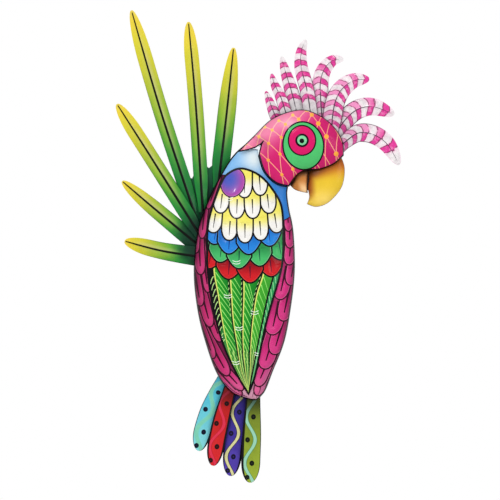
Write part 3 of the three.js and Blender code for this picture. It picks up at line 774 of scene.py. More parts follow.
def printed_sheet(name, outline, print_cells, section, rim, finish, border, step=0.9, still=None,
                  swell=None, fine=()):
    """A pressed sheet meshed along the lines of its print. Each cell of the print is a
    shape, a colour or a function of places, and how far it is pressed up. Later cells lie
    over earlier ones. The border has a width and a colour. Still and swell are functions
    of places: the one holds the relief down and the other adds to it. The mesh is finer
    round the places in fine."""
    def opened(points):
        return spread(points, section, lambda out: np.arcsin(out) * 2 / math.pi)

    def closed(points):
        return spread(points, section, lambda out: np.sin(out * math.pi / 2))

    edge, printable = opened(outline), opened(inset(outline, border[0]))
    shapes = [opened(shape) for shape, _, _ in print_cells]
    loops = [edge, printable, *shapes] if border[0] else [edge, *shapes]
    fine = opened(np.array(fine)) if fine else ()
    spots, faces = cut_faces(loops, loose_points(edge, loops, step, fine))
    middles = spots[faces].mean(1)
    kept = inside(middles, edge)
    faces, middles = faces[kept], middles[kept]
    cell = np.zeros(len(faces), int)
    printed = inside(middles, printable)
    for k, shape in enumerate(shapes, 1):
        cell[printed & inside(middles, shape)] = k
    used, faces = np.unique(faces, return_inverse=True)
    faces = faces.reshape(-1, 3)
    flat = closed(spots[used])
    sides = face_sides(faces)
    heights = np.array([0.0, *[height for _, _, height in print_cells]])
    up = pressed_up(flat, faces, heights[cell], sides)
    if swell:
        up = up + swell(flat)
    if still:
        up = up * still(flat)
    _, share, depth = section(flat)
    base = rim + depth * np.sqrt(np.maximum(1 - np.minimum(share, 1) ** 2, 0))
    plain = np.stack([flat[:, 0], -base, flat[:, 1]], 1)
    facing = np.cross(plain[faces[:, 1]] - plain[faces[:, 0]], plain[faces[:, 2]] - plain[faces[:, 0]])
    normal = at_corners(faces, facing, len(flat))
    normal /= np.maximum(np.linalg.norm(normal, axis=1), 1e-12)[:, None]
    outer, inner = plain + normal * up[:, None], plain - normal * SHEET
    n = len(flat)
    rims = [owners[0][1] for owners in sides.values() if len(owners) == 1]
    cut = [(b, a, a + n, b + n) for a, b in rims]
    mesh = bpy.data.meshes.new(name)
    mesh.from_pydata(np.concatenate([outer, inner]) * MM, [],
                     [*faces.tolist(), *(faces[:, ::-1] + n).tolist(), *cut])
    lay_print(mesh, flat, faces, cell, [border[1], *[colour for _, colour, _ in print_cells]])
    for material in (finish, iron_paint):
        mesh.materials.append(material)
    mesh.polygons.foreach_set("material_index", [0] * len(faces) + [1] * (len(faces) + len(cut)))
    smooth(mesh, 62)
    return mesh


def print_colour(tree):
    """The colours of the print, from the piece's own mesh"""
    return add_node(tree, "ShaderNodeAttribute", attribute_name="print").outputs["Color"]


enamel = {name: painted(name, print_colour, mottle=0.05, gloss=0.27, coat=0.08) for name in (
    "body_enamel", "wing_enamel", "head_enamel", "beak_enamel")}
body_outline = np.concatenate([spline(BODY_RIGHT), spline(BODY_LEFT)[::-1]])
wing_outline = outline_of([WING_RIGHT + WING_LEFT[1:]])
head_outline = outline_of(HEAD_SIDES)


def flank(z, side):
    """The body's edge and the wing's edge at a height, on the left (-1) or right (1)"""
    edge, wing = (BODY_LEFT, WING_LEFT) if side < 0 else (BODY_RIGHT, WING_RIGHT)
    found = []
    for line in (spline(edge), spline(wing)):
        line = line[np.argsort(line[:, 1])]
        found.append(np.interp(z, line[:, 1], line[:, 0]))
    return found


def scale_colour(bottom):
    """Magenta, with painted shade towards the scale's root under the scale above and where the dome
    turns away, and a painted highlight above its end. The lowest scales are pale, and greyed
    on the right towards the rim."""
    def colour(points):
        x, z = points.T
        _, share, _ = body_section(points)
        left = rise(x, 5, -25)
        bright = mixed((208, 46, 124), (190, 42, 106), left)
        rim_shade = mixed((140, 26, 84), (104, 22, 62), left)
        # Painted shade where the dome turns away and towards the root, under the scale above
        paint = mixed(bright, rim_shade, rise(share, 0.84, 0.995))
        paint = mixed(paint, (120, 20, 70), 0.5 * rise(z - bottom[1], 10, 30))
        paint = mixed(paint, (220, 122, 160), 0.7 * rise(z, -124, -150))
        # A painted highlight above the scale's end
        off = np.hypot((x - bottom[0]) / 3.6, (z - bottom[1] - 6.5) / 6)
        paint = mixed(paint, (228, 104, 158), 0.28 * np.exp(-off**2))
        # Greyed towards the lower right rim
        greyed = rise(z, -110, -138) * rise(x, 6, 14) * rise(share, 0.5, 0.9)
        return mixed(paint, (180, 112, 146), 0.75 * greyed)
    return colour


def ground_colour(points):
    """What shows between the scales"""
    return mixed((104, 16, 62), (208, 150, 174), rise(points[:, 1], -120, -147))


def neck_colour(points):
    """Blue, with a painted highlight, nearly white, in the middle"""
    x, z = points.T
    blue = mixed((122, 178, 230), (48, 124, 206), rise(x, 8, 27))
    neck_highlight = np.exp(-(((x - 7) / 10) ** 2 + ((z - 41) / 11) ** 2))
    return mixed(blue, (218, 230, 234), neck_highlight)


body_print = [(body_outline, ground_colour, 0.3)]
SCALES = {  # for each flank: height of the end, place from the rim to the wing, width
    -1: [(0.2, 0.5, 5.6), (-23.3, 0.55, 7.8), (-34.9, 0.14, 6.5), (-52.2, 0.52, 9.8), (-66.4, 0.9, 7.8),
         (-77.2, 0.27, 9.2), (-93.8, 0.6, 10.2), (-105.7, 0.92, 9.8), (-118.9, 0.2, 8.6),
         (-132.5, 0.55, 10.8), (-144.0, 0.86, 9.4), (-149.0, 0.3, 9.0)],
    1: [(-17.6, 0.5, 7.8), (-31.0, 0.45, 8.8), (-44.4, 0.5, 10.4), (-60.6, 0.26, 11.6),
        (-71.9, 0.7, 14.2), (-89.1, 0.3, 12.8), (-100.0, 0.68, 16.0), (-115.7, 0.34, 13.6),
        (-127.2, 0.64, 15.0), (-141.0, 0.68, 11.4), (-148.5, 0.4, 10.0)],
}
SCALE_LENGTH = 44  # most of it under the scales above
SCALE_SHAFT = (28, 7.5)  # the shaft's start and end, from the scale's end
BLUNTNESS = {-1: 1.05, 1: 0.8}
PALE_RIMS = {-1: (178, 66, 112), 1: (218, 96, 148)}  # a thin pale line inside the ink
for side, rows in SCALES.items():
    for z, place, width in sorted(rows):
        edge, wing = flank(z, side)
        way = np.array([np.mean(flank(z - 6, side)) - np.mean(flank(z + 6, side)), -12.0])
        way /= np.linalg.norm(way)
        bottom = np.array([edge + (wing - edge) * place, z])
        shape = scallop(bottom, way, width, SCALE_LENGTH, BLUNTNESS[side])
        inked(body_print, shape, scale_colour(bottom), MAROON, line=1.1, height=0.42,
              edge=(PALE_RIMS[side], 0.4))
        shaft = [bottom - way * up for up in np.linspace(*SCALE_SHAFT, 8)]
        body_print.append((stroke(shaft, 2.1, 0.9), MAROON, 0.0))
STREAKS = [  # worn streaks at the bottom: the line, its width at the start and the end, the colour
    ([(26.1, -122.9), (22, -132), (17.1, -140.8)], 1.5, 0.7, (206, 148, 178)),
    ([(24.2, -123), (20, -132.6), (15.6, -141)], 0.6, 0.4, (122, 58, 92)),
    ([(-16.5, -137.6), (-8, -145), (2, -149)], 0.8, 0.4, (96, 34, 66)),
    ([(-12, -138.4), (-6, -144), (0, -148)], 0.6, 0.3, (122, 58, 92)),
    ([(7.5, -139.5), (7, -144), (6, -149)], 0.7, 0.4, (96, 34, 66)),
    ([(12.6, -141), (11.4, -145), (9, -149.6)], 0.7, 0.4, (96, 34, 66)),
]
for line, start, end, colour in STREAKS:
    body_print.append((stroke(spline(line, 6), start, end), colour, 0.2))
neck_patch = np.array([(44, -4.6), (36, -5.6), (30.6, -9), (18, 8), (0, 20), (-15.5, 27.4), (-24, 27),
                       (-24, 50), (0, 80), (60, 60), (60, 0)], float)
inked(body_print, neck_patch, neck_colour, MAROON, line=0.8, height=0.2)
body_print.append((inset(wing_outline, -0.4), INK, 0.0))
body_print.append((stroke(spline(HEAD_SIDES[2][:4]), 1.4, 1.4), (16, 14, 40), 0.0))
body_print.append((stroke(spline(HEAD_SIDES[2])[-8:], 1.3, 1.3), INK, 0.0))


def clear_of_laps(points):
    """No relief where the wing or the head lies on the body"""
    lapped = inside(points, inset(wing_outline, -0.6)) | inside(points, inset(head_outline, -1.0))
    return np.where(lapped, 0.0, 1.0)


body_mesh = printed_sheet("body_pressing", body_outline, body_print, body_section, BODY_RIM,
                          enamel["body_enamel"], (1.15, (16, 0, 10)), step=1.0, still=clear_of_laps)
piece("body_pressing", body_mesh, "body_shell")

# Wing panel
# A second sheet pressed over the same dome and welded on top of it. From the
# shoulder down it is printed with a violet cap, pale coverts, blue, green and
# red scalloped rows, and long green flight feathers that meet at its point.
WING_GROW = 1.2  # the panel's face lies so far over the body's
BLACK = (6, 5, 10)
FLIGHT_TOP = -48.0  # the flight feathers are laid out from here down to the wing's point
WING_POINT = -146.4
VANE_RISE = 0.25  # how far the flight feathers are pressed up
FEATHER_RISE = 0.4  # and the scalloped feathers
SHAFTS = [  # across, at even steps from the top of the flight feathers down to the point
    (-24.5, -21.2, -18.1, -14, -8, 3), (-11.8, -10.6, -9.2, -6.1, -3, 3), (-0.9, -0.8, -1.4, -1.4, 0.3, 3),
    (15.4, 9.6, 6.5, 4.8, 4.3, 3), (23.5, 18.4, 14.1, 10.2, 6.4, 3),
]
wing_print = []


def shaft_x(k, z):
    """Where a flight feather's shaft runs at a height"""
    fall = (FLIGHT_TOP - np.ravel(z)) / (FLIGHT_TOP - WING_POINT)
    return spline_at(np.array(SHAFTS[k])[:, None], fall)[:, 0]


def vane_reach(k, z):
    """How far a vane runs to the right of its shaft. The last one fills its gap."""
    gap = shaft_x(k + 1, z) - shaft_x(k, z)
    return np.maximum(gap - (0.9 + 1.6 * rise(z, -92, -60)), 0.3 * gap) if k < 3 else gap * 0.97


def vane_colour(k):
    """Green, darker away from the shaft, lighter towards the point and in the last vane"""
    def colour(points):
        x, z = points.T
        out = (x - shaft_x(k, z)) / np.maximum(vane_reach(k, z), 0.5)
        top = mixed((44, 156, 40), (18, 122, 34), out)
        top = mixed(top, (70, 166, 46), np.full(len(points), 0.75 if k == 3 else 0.0))
        return mixed(top, (112, 178, 78), rise(z, -104, -136))
    return colour


def barb_colour(points):
    """Pale green, yellower towards the point"""
    return mixed((146, 224, 110), (158, 216, 112), rise(points[:, 1], -80, -124))


def shaft_colour(points):
    """Pale yellow, greener towards the point"""
    return mixed((218, 226, 112), (184, 208, 104), rise(points[:, 1], -90, -138))


# Flight feathers: a pale shaft, a green vane on its right with light barbs and with
# splits towards the point, and short dashes in the black on its left
BARB_END, BARB_STEP = -122, 6.0  # no barb starts lower, and from barb to barb
BARB_STAGGER = 1.4  # each feather's barbs start lower than those on its left
DASH_TOP, DASH_OFF = -53.0, 1.2  # the first dash, and how far off the shaft they start
DASHES = [(-108, 5.0, 6.0, 3.4)] + [(-84, 4.2, 2.4, 1.0)] * 3  # end, step, length, reach to the left
SPLITS = [  # share of the way to the next shaft, colour
    (0.24, (30, 84, 30)), (0.46, (178, 212, 122)), (0.66, (24, 72, 26)), (0.84, (178, 212, 122)),
]
heights_down = np.linspace(-44, -145, 70)
heights_low = heights_down[heights_down < -90]


def off_shaft(k, z, out=0.0):
    """Places at heights z, so far to the right of a shaft"""
    return np.stack([shaft_x(k, z) + out, z], 1)


def brushed(points, start, end, colour, height=VANE_RISE):
    """Adds a brush stroke to the wing's print"""
    wing_print.append((stroke(points, start, end), colour, height))


def right_colour(points):
    """The feather that shows at the right edge, bluer than the rest"""
    return mixed((44, 146, 82), (96, 178, 108), rise(points[:, 1], -70, -120))


def left_colour(points):
    """The green left of the first shaft, which starts low on the wing"""
    return mixed((40, 120, 48), (118, 182, 84), rise(points[:, 1], -96, -128))


for k in range(4):
    far_side = off_shaft(k, heights_down, vane_reach(k, heights_down))
    vane = np.concatenate([off_shaft(k, heights_down), far_side[::-1]])
    wing_print.append((vane, vane_colour(k), VANE_RISE))
right_side = np.concatenate([off_shaft(4, heights_down, 0.8), [(8, -140), (34, -60), (36, -44)]])
wing_print.append((right_side, right_colour, VANE_RISE))
left_side = off_shaft(0, heights_low, -9 * rise(heights_low, -88, -112))
left_side = np.concatenate([left_side, off_shaft(0, heights_low)[::-1]])
wing_print.append((left_side, left_colour, VANE_RISE))
across, part = np.linspace(0.1, 0.94, 6), np.linspace(0, 1, 5)
for k, (end, step, length, reach) in enumerate(DASHES):
    for z in np.arange(FLIGHT_TOP - BARB_STAGGER * k, BARB_END, -BARB_STEP):
        down = z - (1.65 + 0.75 * rise(z, -70, -105)) * vane_reach(k, z) * across
        brushed(off_shaft(k, down, vane_reach(k, down) * across), 0.75, 0.3, barb_colour)
    for z in np.arange(DASH_TOP, end, -step):
        dash = off_shaft(k, z - length * part, -DASH_OFF - reach * part**0.7)
        brushed(dash, 0.8, 0.4, (180, 222, 138))
    for share, colour in SPLITS:
        low = np.linspace(-109 - 6 * share, -143, 10)
        brushed(off_shaft(k, low, share * (shaft_x(k + 1, low) - shaft_x(k, low))), 0.6, 0.3, colour)
    if k:
        beside = off_shaft(k, heights_down, -1.05 * rise(heights_down, -140, -112))
        brushed(beside, 1.3, 0.5, (10, 26, 12), 0.0)
    brushed(off_shaft(k, heights_down), 1.1, 0.5, shaft_colour)
for z in np.arange(-52.0, BARB_END, -5.6):
    brushed(off_shaft(4, z - 6.5 * part, 0.9 + 2.6 * part), 0.7, 0.4, (142, 216, 150))
brushed(off_shaft(4, heights_down), 1.3, 0.8, BLACK, 0.0)


def feather_row(ends, width, length, colour, edge, line, shaft, **form):
    """A row of scalloped feathers, the outer ones first. The shaft has a start and an end
    over the feather's end, a width and an ink."""
    start, end, wide, ink = shaft
    for x, z in sorted(ends, key=lambda place: -abs(place[0])):
        way = (0.006 * x, -1.0)
        shape = scallop((x, z), way, width, length, **form)
        inked(wing_print, shape, colour((x, z)), BLACK, line, FEATHER_RISE, edge)
        rib = [(x - way[0] * up, z + up) for up in np.linspace(start, end, 6)]
        brushed(rib, wide, 0.4, ink, 0.0)


def shaded(colour, root):
    """Paint that darkens from a feather's end to its root, painted shade under the row above"""
    return lambda bottom: lambda p: mixed(colour, root, rise(p[:, 1] - bottom[1], 5, 17))


ROWS = [  # ends of the feathers, width, colour at the end and the root, pale edge, rib
    ([(-29.5, -47.5), (-13.5, -56), (4.3, -58.9), (21.8, -53.9)], 22.4, (204, 30, 38), (134, 10, 24),
     (226, 76, 64), (14, 4.5, 1.2, (84, 10, 40))),
    ([(-34, -33), (-20.3, -42.6), (-5, -47.6), (12.3, -45.6), (29.6, -40.6)], 21.4, (70, 182, 104),
     (40, 136, 72), (140, 208, 152), (15, 5, 1.1, (20, 60, 60))),
    ([(-25, -28.2), (-13.3, -35.9), (3, -36.3), (20.4, -29.7), (33, -17)], 20.8, (40, 130, 216),
     (22, 98, 182), (96, 164, 238), (13, 4.5, 1.0, (14, 40, 120))),
]
for ends, width, colour, root, edge, rib in ROWS:
    feather_row(ends, width, length=26, colour=shaded(colour, root), edge=(edge, 0.3), line=1.35, shaft=rib,
                bluntness=0.48, arched=True)


def covert_colour(bottom):
    """White at the feather's end, yellow at its root"""
    return lambda p: mixed((236, 234, 230), (234, 224, 100), rise(p[:, 1] - bottom[1], 8, 19))


COVERTS = [  # places across, height of the row's middle, width
    ((-26, -13, 0, 13, 26), -27.0, 14.4), ((-20, -6.8, 6.4, 19.6), -8.0, 14.2),
    ((-26, -13.4, -0.4, 12.6, 25.4), 9.0, 13.8),
]
for xs, low, width in COVERTS:
    ends = [(x, low + 0.012 * x**2) for x in xs]
    feather_row(ends, width, length=38, colour=covert_colour, edge=None, line=1.3,
                shaft=(16, 4.6, 1.2, BLACK))


def cap_colour(points):
    """Blue in the middle and violet at the edge"""
    away = np.hypot((points[:, 0] + 12.5) / 10.5, (points[:, 1] - 24.5) / 12.5)
    return mixed((66, 82, 182), (176, 76, 166), rise(away, 0.1, 1.25))


inked(wing_print, disc((-9.6, 21.8), 10.0, 12.2, -0.25), cap_colour, (40, 8, 54), line=1.0,
      height=FEATHER_RISE, edge=((200, 112, 186), 0.35))


def wing_section(points):
    """The body's dome, grown to lie over it"""
    return body_section(points, WING_GROW)


# Small raised runs of enamel, in pairs, here and there over the panel, each painted near white
# along its length as a highlight
GLINTS = [(-12.6, 8.4), (-6.8, -42), (-13.6, -69), (7.6, -82), (-4.8, -94.6), (-20.6, -103), (-7.4, -122),
          (10.6, -115)]
GLINT_LIFTS = (0.7, -1.2)  # the two runs of a pair
GLINT_HALF, GLINT_CURVE = 3.0, 0.11
GLINT_RISE, GLINT_WIDTH = 0.35, 0.6


def glint_arc(place, lift):
    """One run, curved up at both ends"""
    across = np.linspace(-GLINT_HALF, GLINT_HALF, 13)
    return np.stack([place[0] + across, place[1] + lift + GLINT_CURVE * across**2], 1)


for place in GLINTS:
    for lift in GLINT_LIFTS:
        # A painted highlight along each run
        brushed(glint_arc(place, lift), 0.5, 0.5, (236, 244, 236))


def glint_swell(points):
    """How far the runs stand up from the panel"""
    up = np.zeros(len(points))
    for x, z in GLINTS:
        across = points[:, 0] - x
        ends = rise(np.abs(across), GLINT_HALF + 0.6, GLINT_HALF - 0.6)
        for lift in GLINT_LIFTS:
            off = points[:, 1] - z - lift - GLINT_CURVE * across**2
            up += GLINT_RISE * np.exp(-((off / GLINT_WIDTH) ** 2)) * ends
    return up


wing_mesh = printed_sheet("wing_pressing", wing_outline, wing_print, wing_section, BODY_RIM,
                          enamel["wing_enamel"], (1.35, BLACK), swell=glint_swell, fine=GLINTS)
piece("wing_pressing", wing_mesh, "wing_panel")

# Crest
# Eight curled feathers fanned out behind the crown, each a folded blade of thin
# sheet welded to the head plate. White enamel with mottled pink bars, painted paler on the
# lit side of the fold, a fine dark midrib, and painted grey shade and dark edges where they
# tuck in behind the head and under each other.
CREST = {"Half Width": 6.0, "Fold": 1.2, "Lean": 5.0, "Tip Length": 34, "Root Share": 0.68}
CREST_SEATS = {"front": 14.8, "rear": 12.4}
BAR_HALF = 0.22  # of the spacing
# Each plume: spine, width, swell, layer, finish, bars (the first from the tip, their spacing
# and how fast they close up), other shares and lengths
PLUMES = [
    ([(31, 61.6), (23.9, 75.6), (16.6, 94.5)], 0.84, 0.4, "rear", "short", (0.0, 7.0, 0.0), {}),
    ([(36, 66), (29.2, 88), (23.6, 100), (21.2, 108.4)], 0.82, 0.4, "front", "short", (1.5, 8.2, 0.0), {}),
    ([(43.6, 68), (37.8, 92), (32.2, 110.4), (29.2, 122)], 1.1, 0.4, "rear", "short", (6.6, 8.6, 0.0),
     {"Root Share": 0.95, "Tip Length": 59.84}),
    ([(53.6, 68), (49.6, 94.4), (44.8, 113.6), (45, 126.4), (48.6, 135.4)], 0.96, 0.4, "front", "upright",
     (9.8, 9.1, 0.0), {"Root Share": 0.95}),
    ([(62, 66), (60.4, 88), (60.2, 102.4), (63.6, 112.8), (70.4, 119.2), (78.4, 120)], 1.1, 0.4, "rear",
     "curled", (8.6, 9.6, 0.0), {}),
    ([(69, 60), (70, 76), (72.8, 88.6), (78.4, 97.4), (87, 103), (99, 104.2)], 1.3, 0.25, "front",
     "curled", (2.2, 9.6, 0.03), {}),
    ([(70, 56), (75, 65), (82.6, 74.8), (92, 81), (103.2, 82), (119, 76)], 1.3, 0.25, "rear",
     "curled", (8.0, 12.6, 0.07), {}),
    ([(74.6, 48.8), (80.8, 54.9), (90.4, 61.2), (102.4, 60), (113.6, 52), (122.8, 36)], 1.24, 0.4, "front",
     "curled", (15.7, 13.4, 0.09), {}),
]
# The second pink is painted light: the side of the fold that faces the lamp
CREST_FINISHES = {  # pink, pink on the far side of the fold, bow of the bars, number of bars
    "short": ((222, 58, 146), (224, 80, 158), 0.42, 4),
    "upright": ((222, 58, 146), (224, 80, 158), 0.42, 5),
    "curled": ((218, 60, 148), (234, 144, 192), 0.5, 20),
}


def crest_colour(pink, lit_pink, bow, bars):
    """So many bars that bow towards the tip, painted paler on the far side of the fold as the lit
    side, mottled and bleeding into the white between them, and a bare root, with painted grey
    shade and dark edges where the plumes tuck in behind the head and under each other"""
    def colour(tree):
        along, share, aside, mark = (reading(tree, label) for label in ("along", "share", "aside", "mark"))
        wobble = (cloud(tree, 5) - 0.5) * 0.25
        bowed = share * share * bow * mark.ease(0.2, 3.2, 0.25, 1.0)
        arch = mark - bowed + wobble + aside.ease(-0.2, 0.2) * 0.06
        beat = abs((arch + 0.5).sum("FRACT") - 0.5) + arch.ease(-0.45, -0.55)
        white = cloud(tree, 4, 4).ease(0.35, 0.7).mix(card(238, 232, 234), card(212, 205, 208))
        bar = (aside.ease(-0.6, 0.6) * mark.ease(0.6, 1.4)).mix(card(*pink), card(*lit_pink))
        bar = (cloud(tree, 2.4, 3).ease(0.48, 0.66) * 0.5).mix(bar, card(238, 150, 196))
        white = (abs(share).ease(0.82, 0.95) * 0.6).mix(white, card(244, 204, 226))
        barred = arch.ease(bars - 0.49, bars - 0.51)
        white = (beat.ease(0.46, BAR_HALF) * barred * 0.6).mix(white, card(244, 188, 216))
        paint = (beat.ease(BAR_HALF + 0.015, BAR_HALF - 0.015) * barred).mix(white, bar)
        line = abs(beat - BAR_HALF).ease(0.06, 0.025) * cloud(tree, 3).ease(0.3, 0.5)
        paint = (line * barred * 0.85).mix(paint, card(126, 24, 80))
        rib = abs(aside + wobble) - along.ease(0.2, 1.0, 0.42, 0.16)
        rib = rib.ease(0.14, -0.1) * along.ease(0.97, 0.9) * cloud(tree, 8).ease(0.3, 0.45)
        paint = rib.mix(paint, card(62, 52, 66))
        # Painted shade: grey at the root and dark along the edges near it, where the plumes tuck in behind
        # the head and under each other
        edge = abs(share).ease(0.9, 0.95) * along.ease(0.62, 0.48)
        paint = (along.ease(0.5, 0.2) * 0.2).mix(paint, card(96, 88, 98))
        return (edge * 0.85).mix(paint, card(40, 24, 36))
    return colour


crest_paints = {}
for name, form in CREST_FINISHES.items():
    crest_paints[name] = painted("crest_enamel_" + name, crest_colour(*form), mottle=0.04, gloss=0.36)
for k, (line, wide, swell, layer, finish, bars, form) in enumerate(PLUMES, 1):
    blade(f"crest_plume_{k}", f"crest_feather_{k}", line, CREST["Half Width"] * wide,
          CREST_SEATS[layer], {**CREST, "Swell": swell, **form}, crest_paints[finish], mark=bars, rib=0.15)

# Beak
# A hooked upper half and a small lower lip, two little domes of sheet welded to
# the head plate. Yellow enamel shaded with orange brown at the root.
BEAK_RIM = 12.4
UPPER_SIDES = [
    [(49.4, 4.6), (51.2, 10.4), (50.2, 17.6), (51, 24), (51.2, 31.2), (55.2, 37.6), (66, 41.6), (77, 42)],
    [(77, 42), (79.5, 34), (78.9, 23.8), (75.5, 15.2), (66.4, 5.7), (57, 2.4), (49.4, 4.6)],
]
LOWER_SIDES = [
    [(35.8, 19.8), (39.4, 16.4), (43.8, 14.7), (50.1, 13.4)],
    [(50.1, 13.4), (49.7, 20), (50.4, 26), (50.4, 31.6), (45.6, 34.4), (41.2, 29.2), (35.8, 19.8)],
]


def dome_section(outline, centre, depth, tongue=None):
    """A dome over an outline that can be seen whole from its centre. A tongue, left of
    a place and so far out, lies low instead of rising with the dome, and is dressed
    down round a spot."""
    spokes = outline - np.asarray(centre, float)
    turns = np.arctan2(spokes[:, 1], spokes[:, 0])
    order = np.argsort(turns)
    spokes, turns = spokes[order], turns[order]

    def section(points):
        arms = points - centre
        reach = np.linalg.norm(arms, axis=1)
        k = np.searchsorted(turns, np.arctan2(arms[:, 1], arms[:, 0])) % len(turns)
        a, b = spokes[k - 1], spokes[k]
        side = b - a
        way = arms / np.maximum(reach, 1e-9)[:, None]
        far = np.cross(a, side) / np.where(np.abs(np.cross(way, side)) < 1e-9, 1e-9, np.cross(way, side))
        far = np.maximum(np.abs(far), 1e-6)
        share, deep = reach / far, np.full(len(points), depth)
        if tongue:
            left_of, start, low, spot = tongue
            root = np.maximum(np.sqrt(np.maximum(1 - share**2, 0)), 1e-4)
            domed = depth * np.sqrt(np.maximum(1 - (reach / start) ** 2, 0)) / root
            lying = (centre[0] + way[:, 0] * far < left_of) & (far > start)
            deep = np.where(lying, np.minimum(deep, np.maximum(domed, low)), deep)
            deep = deep * (1 - 0.85 * np.exp(-((np.linalg.norm(points - spot, axis=1) / 6.5) ** 4)))
        return np.tile(centre, (len(points), 1)), share, deep
    return section


def upper_colour(points):
    """Yellow, with a painted highlight low on the hook, and painted shade in orange brown to near black
    under the head and beside the lip
    """
    x, z = points.T
    paint = mixed((228, 190, 50), (212, 124, 40), rise(z, 22, 38))
    highlight = np.exp(-(((x - 63) / 13) ** 2 + ((z - 8) / 8) ** 2))
    paint = mixed(paint, (250, 218, 116), 0.8 * highlight)
    under = 28.5 + 0.41 * (x - 49) - z  # below the head's edge
    # Painted shade under the head's edge and beside the lip
    shadow = rise(under, 11, -1) * (0.95 - 0.3 * rise(x, 54, 76))
    brown_shade = np.maximum(shadow, 0.95 * rise(x, 58, 50.5) * rise(z, 5, 16))
    paint = mixed(paint, (150, 70, 28), brown_shade)
    beak_shade = 0.95 * rise(under, 7, -1) * rise(x, 67, 52)
    return mixed(paint, (84, 46, 20), beak_shade)


def lower_colour(points):
    """Pale at its free end as a painted highlight, orange brown, and painted shade going nearly black
    towards the head and the hook
    """
    x, z = points.T
    paint = mixed((252, 208, 154), (204, 130, 64), np.maximum(rise(z, 16, 25), rise(x, 47, 41)))
    beak_shade = np.maximum(rise(z, 25, 32), rise(x, 48.6, 50))
    beak_shade = np.maximum(beak_shade, rise(x - 0.5 * (z - 20), 39.6, 36.8))
    return mixed(paint, (44, 24, 20), 0.9 * beak_shade)


for name, node, sides, centre, depth, colour in (
    ("beak_hook", "upper_beak", UPPER_SIDES, (63, 17), 6.0, upper_colour),
    ("beak_lip", "lower_beak", LOWER_SIDES, (45, 23), 4.0, lower_colour),
):
    outline = outline_of(sides)
    cells = [(inset(outline, -1.0), colour, 0.12)]
    mesh = printed_sheet(name, outline, cells, dome_section(outline, centre, depth), BEAK_RIM,
                         enamel["beak_enamel"], (0.3, (112, 62, 24)))
    piece(name, mesh, node)

# Head shell
# A deep dish of sheet with a pointed nape, lapped over the neck, the beak and
# the crest and carried on a stud. Magenta, with a painted highlight in pale pink over the
# crown, a fine net of pale lines and orange dots that grow paler under it, and a ringed eye in a green
# patch.
HEAD_RIM, HEAD_DEPTH, HEAD_CENTRE = 17.2, 12.0, (44.0, 57.6)
NAPE = (10, 37.0, 4.0, (11, 49.5))  # the tongue: left of, so far out, so low, dressed down round
EYE = (45.4, 55.2)
HEAD_RISE = 0.35  # how far the head's print is pressed up


def head_colour(points):
    """Magenta, with painted highlights: pale pink over the crown and the nape, and a soft one by the eye
    patch
    """
    x, z = points.T
    crown_highlight = rise(z - 0.75 * (x - 40), 52, 82)
    deep = mixed((206, 34, 108), (196, 30, 104), rise(x + z * -0.4, 20, 50))
    paint = mixed(deep, (240, 150, 178), 0.85 * crown_highlight)
    patch_highlight = np.exp(-(((x - 36) / 7) ** 2 + ((z - 68.5) / 4) ** 2))
    return mixed(paint, (248, 220, 228), 0.55 * patch_highlight)


head_print = [(inset(head_outline, -1.0), head_colour, HEAD_RISE)]


NET_START = np.array((18.98, 52.97))
NET_STEPS = np.array(((8.29, -6.93), (-1.57, -11.89)))  # from line to line, in both directions
NET_BOWS = np.array(((0.63, -1.66), (1.88, -2.9), (1.24, -1.51)))  # how the steps grow round the dome


def net_knots(i, j):
    """Places in the net of lines, which bows round the dome"""
    i, j = np.asarray(i, float)[..., None], np.asarray(j, float)[..., None]
    flat = NET_START + NET_STEPS[0] * i + NET_STEPS[1] * j
    return flat + NET_BOWS[0] * i * i + NET_BOWS[1] * i * j + NET_BOWS[2] * j * j


def net_colour(points):
    """Salmon, paler under the painted highlight over the crown"""
    return mixed((248, 164, 132), (252, 206, 190), rise(points[:, 1] - 0.6 * points[:, 0], 36, 62))


def dot_colour(points):
    """Orange, paler under the painted highlight over the crown"""
    return mixed((248, 170, 66), (252, 206, 130), rise(points[:, 1] - 0.6 * points[:, 0], 36, 62))


knots = [(i, j) for i in range(-2, 7) for j in range(max(-2 - i, -6), 3 - round(0.7 * i))]
BARE_KNOTS = ((5, -3), (6, -5))  # crossings without a dot
part = np.linspace(0, 1, 6)
for i, j in knots:
    for line in (net_knots(i + part, j + 0 * part), net_knots(i + 0 * part, j + part)):
        if inside(line, inset(head_outline, -3)).any():
            head_print.append((stroke(line, 0.62, 0.62), net_colour, HEAD_RISE))
for i, j in knots:
    if (i, j) in BARE_KNOTS:
        continue
    spot = net_knots(i, j)
    head_print.append((disc(spot, 1.25 + 0.6 * rise(spot[0], 30, 68), count=18), dot_colour, 0.6))
eye_patch = disc((46.4, 51.0), 16.8, 19.6, turn=0.12, count=64)
eye_surround = disc(EYE, 11.4, 12.4, count=56)
inked(head_print, eye_patch, (78, 190, 108), INK, line=1.2, height=HEAD_RISE)
inked(head_print, eye_surround, (214, 24, 102), INK, line=1.1, height=HEAD_RISE)
inked(head_print, disc(EYE, 5.4, count=44), (126, 208, 154), INK, line=1.6, height=HEAD_RISE)
head_print.append((disc((EYE[0] - 0.2, EYE[1] - 0.4), 1.9, count=28), INK, HEAD_RISE))

# The blue of the neck runs up into the notch under the nape, and ink edges the sheet
NOTCH_RIGHT = [(11.2, 41.8), (11.8, 46.1), (12.6, 49.7), (13.6, 52.8), (14.8, 55)]
NOTCH_LEFT = [(14.8, 55), (13.4, 53.3), (11.4, 52), (8.3, 50.1), (4.2, 48.6), (0.2, 47.6), (-3.9, 46.9),
              (-5.6, 46.7)]


def notch_colour(points):
    """The neck's blue, brightened to a painted highlight, nearly white, towards the notch's corner, which
    also offsets the shade of the steep sheet there
    """
    return mixed((136, 186, 238), (244, 250, 255), rise(points[:, 0], -2, 10))


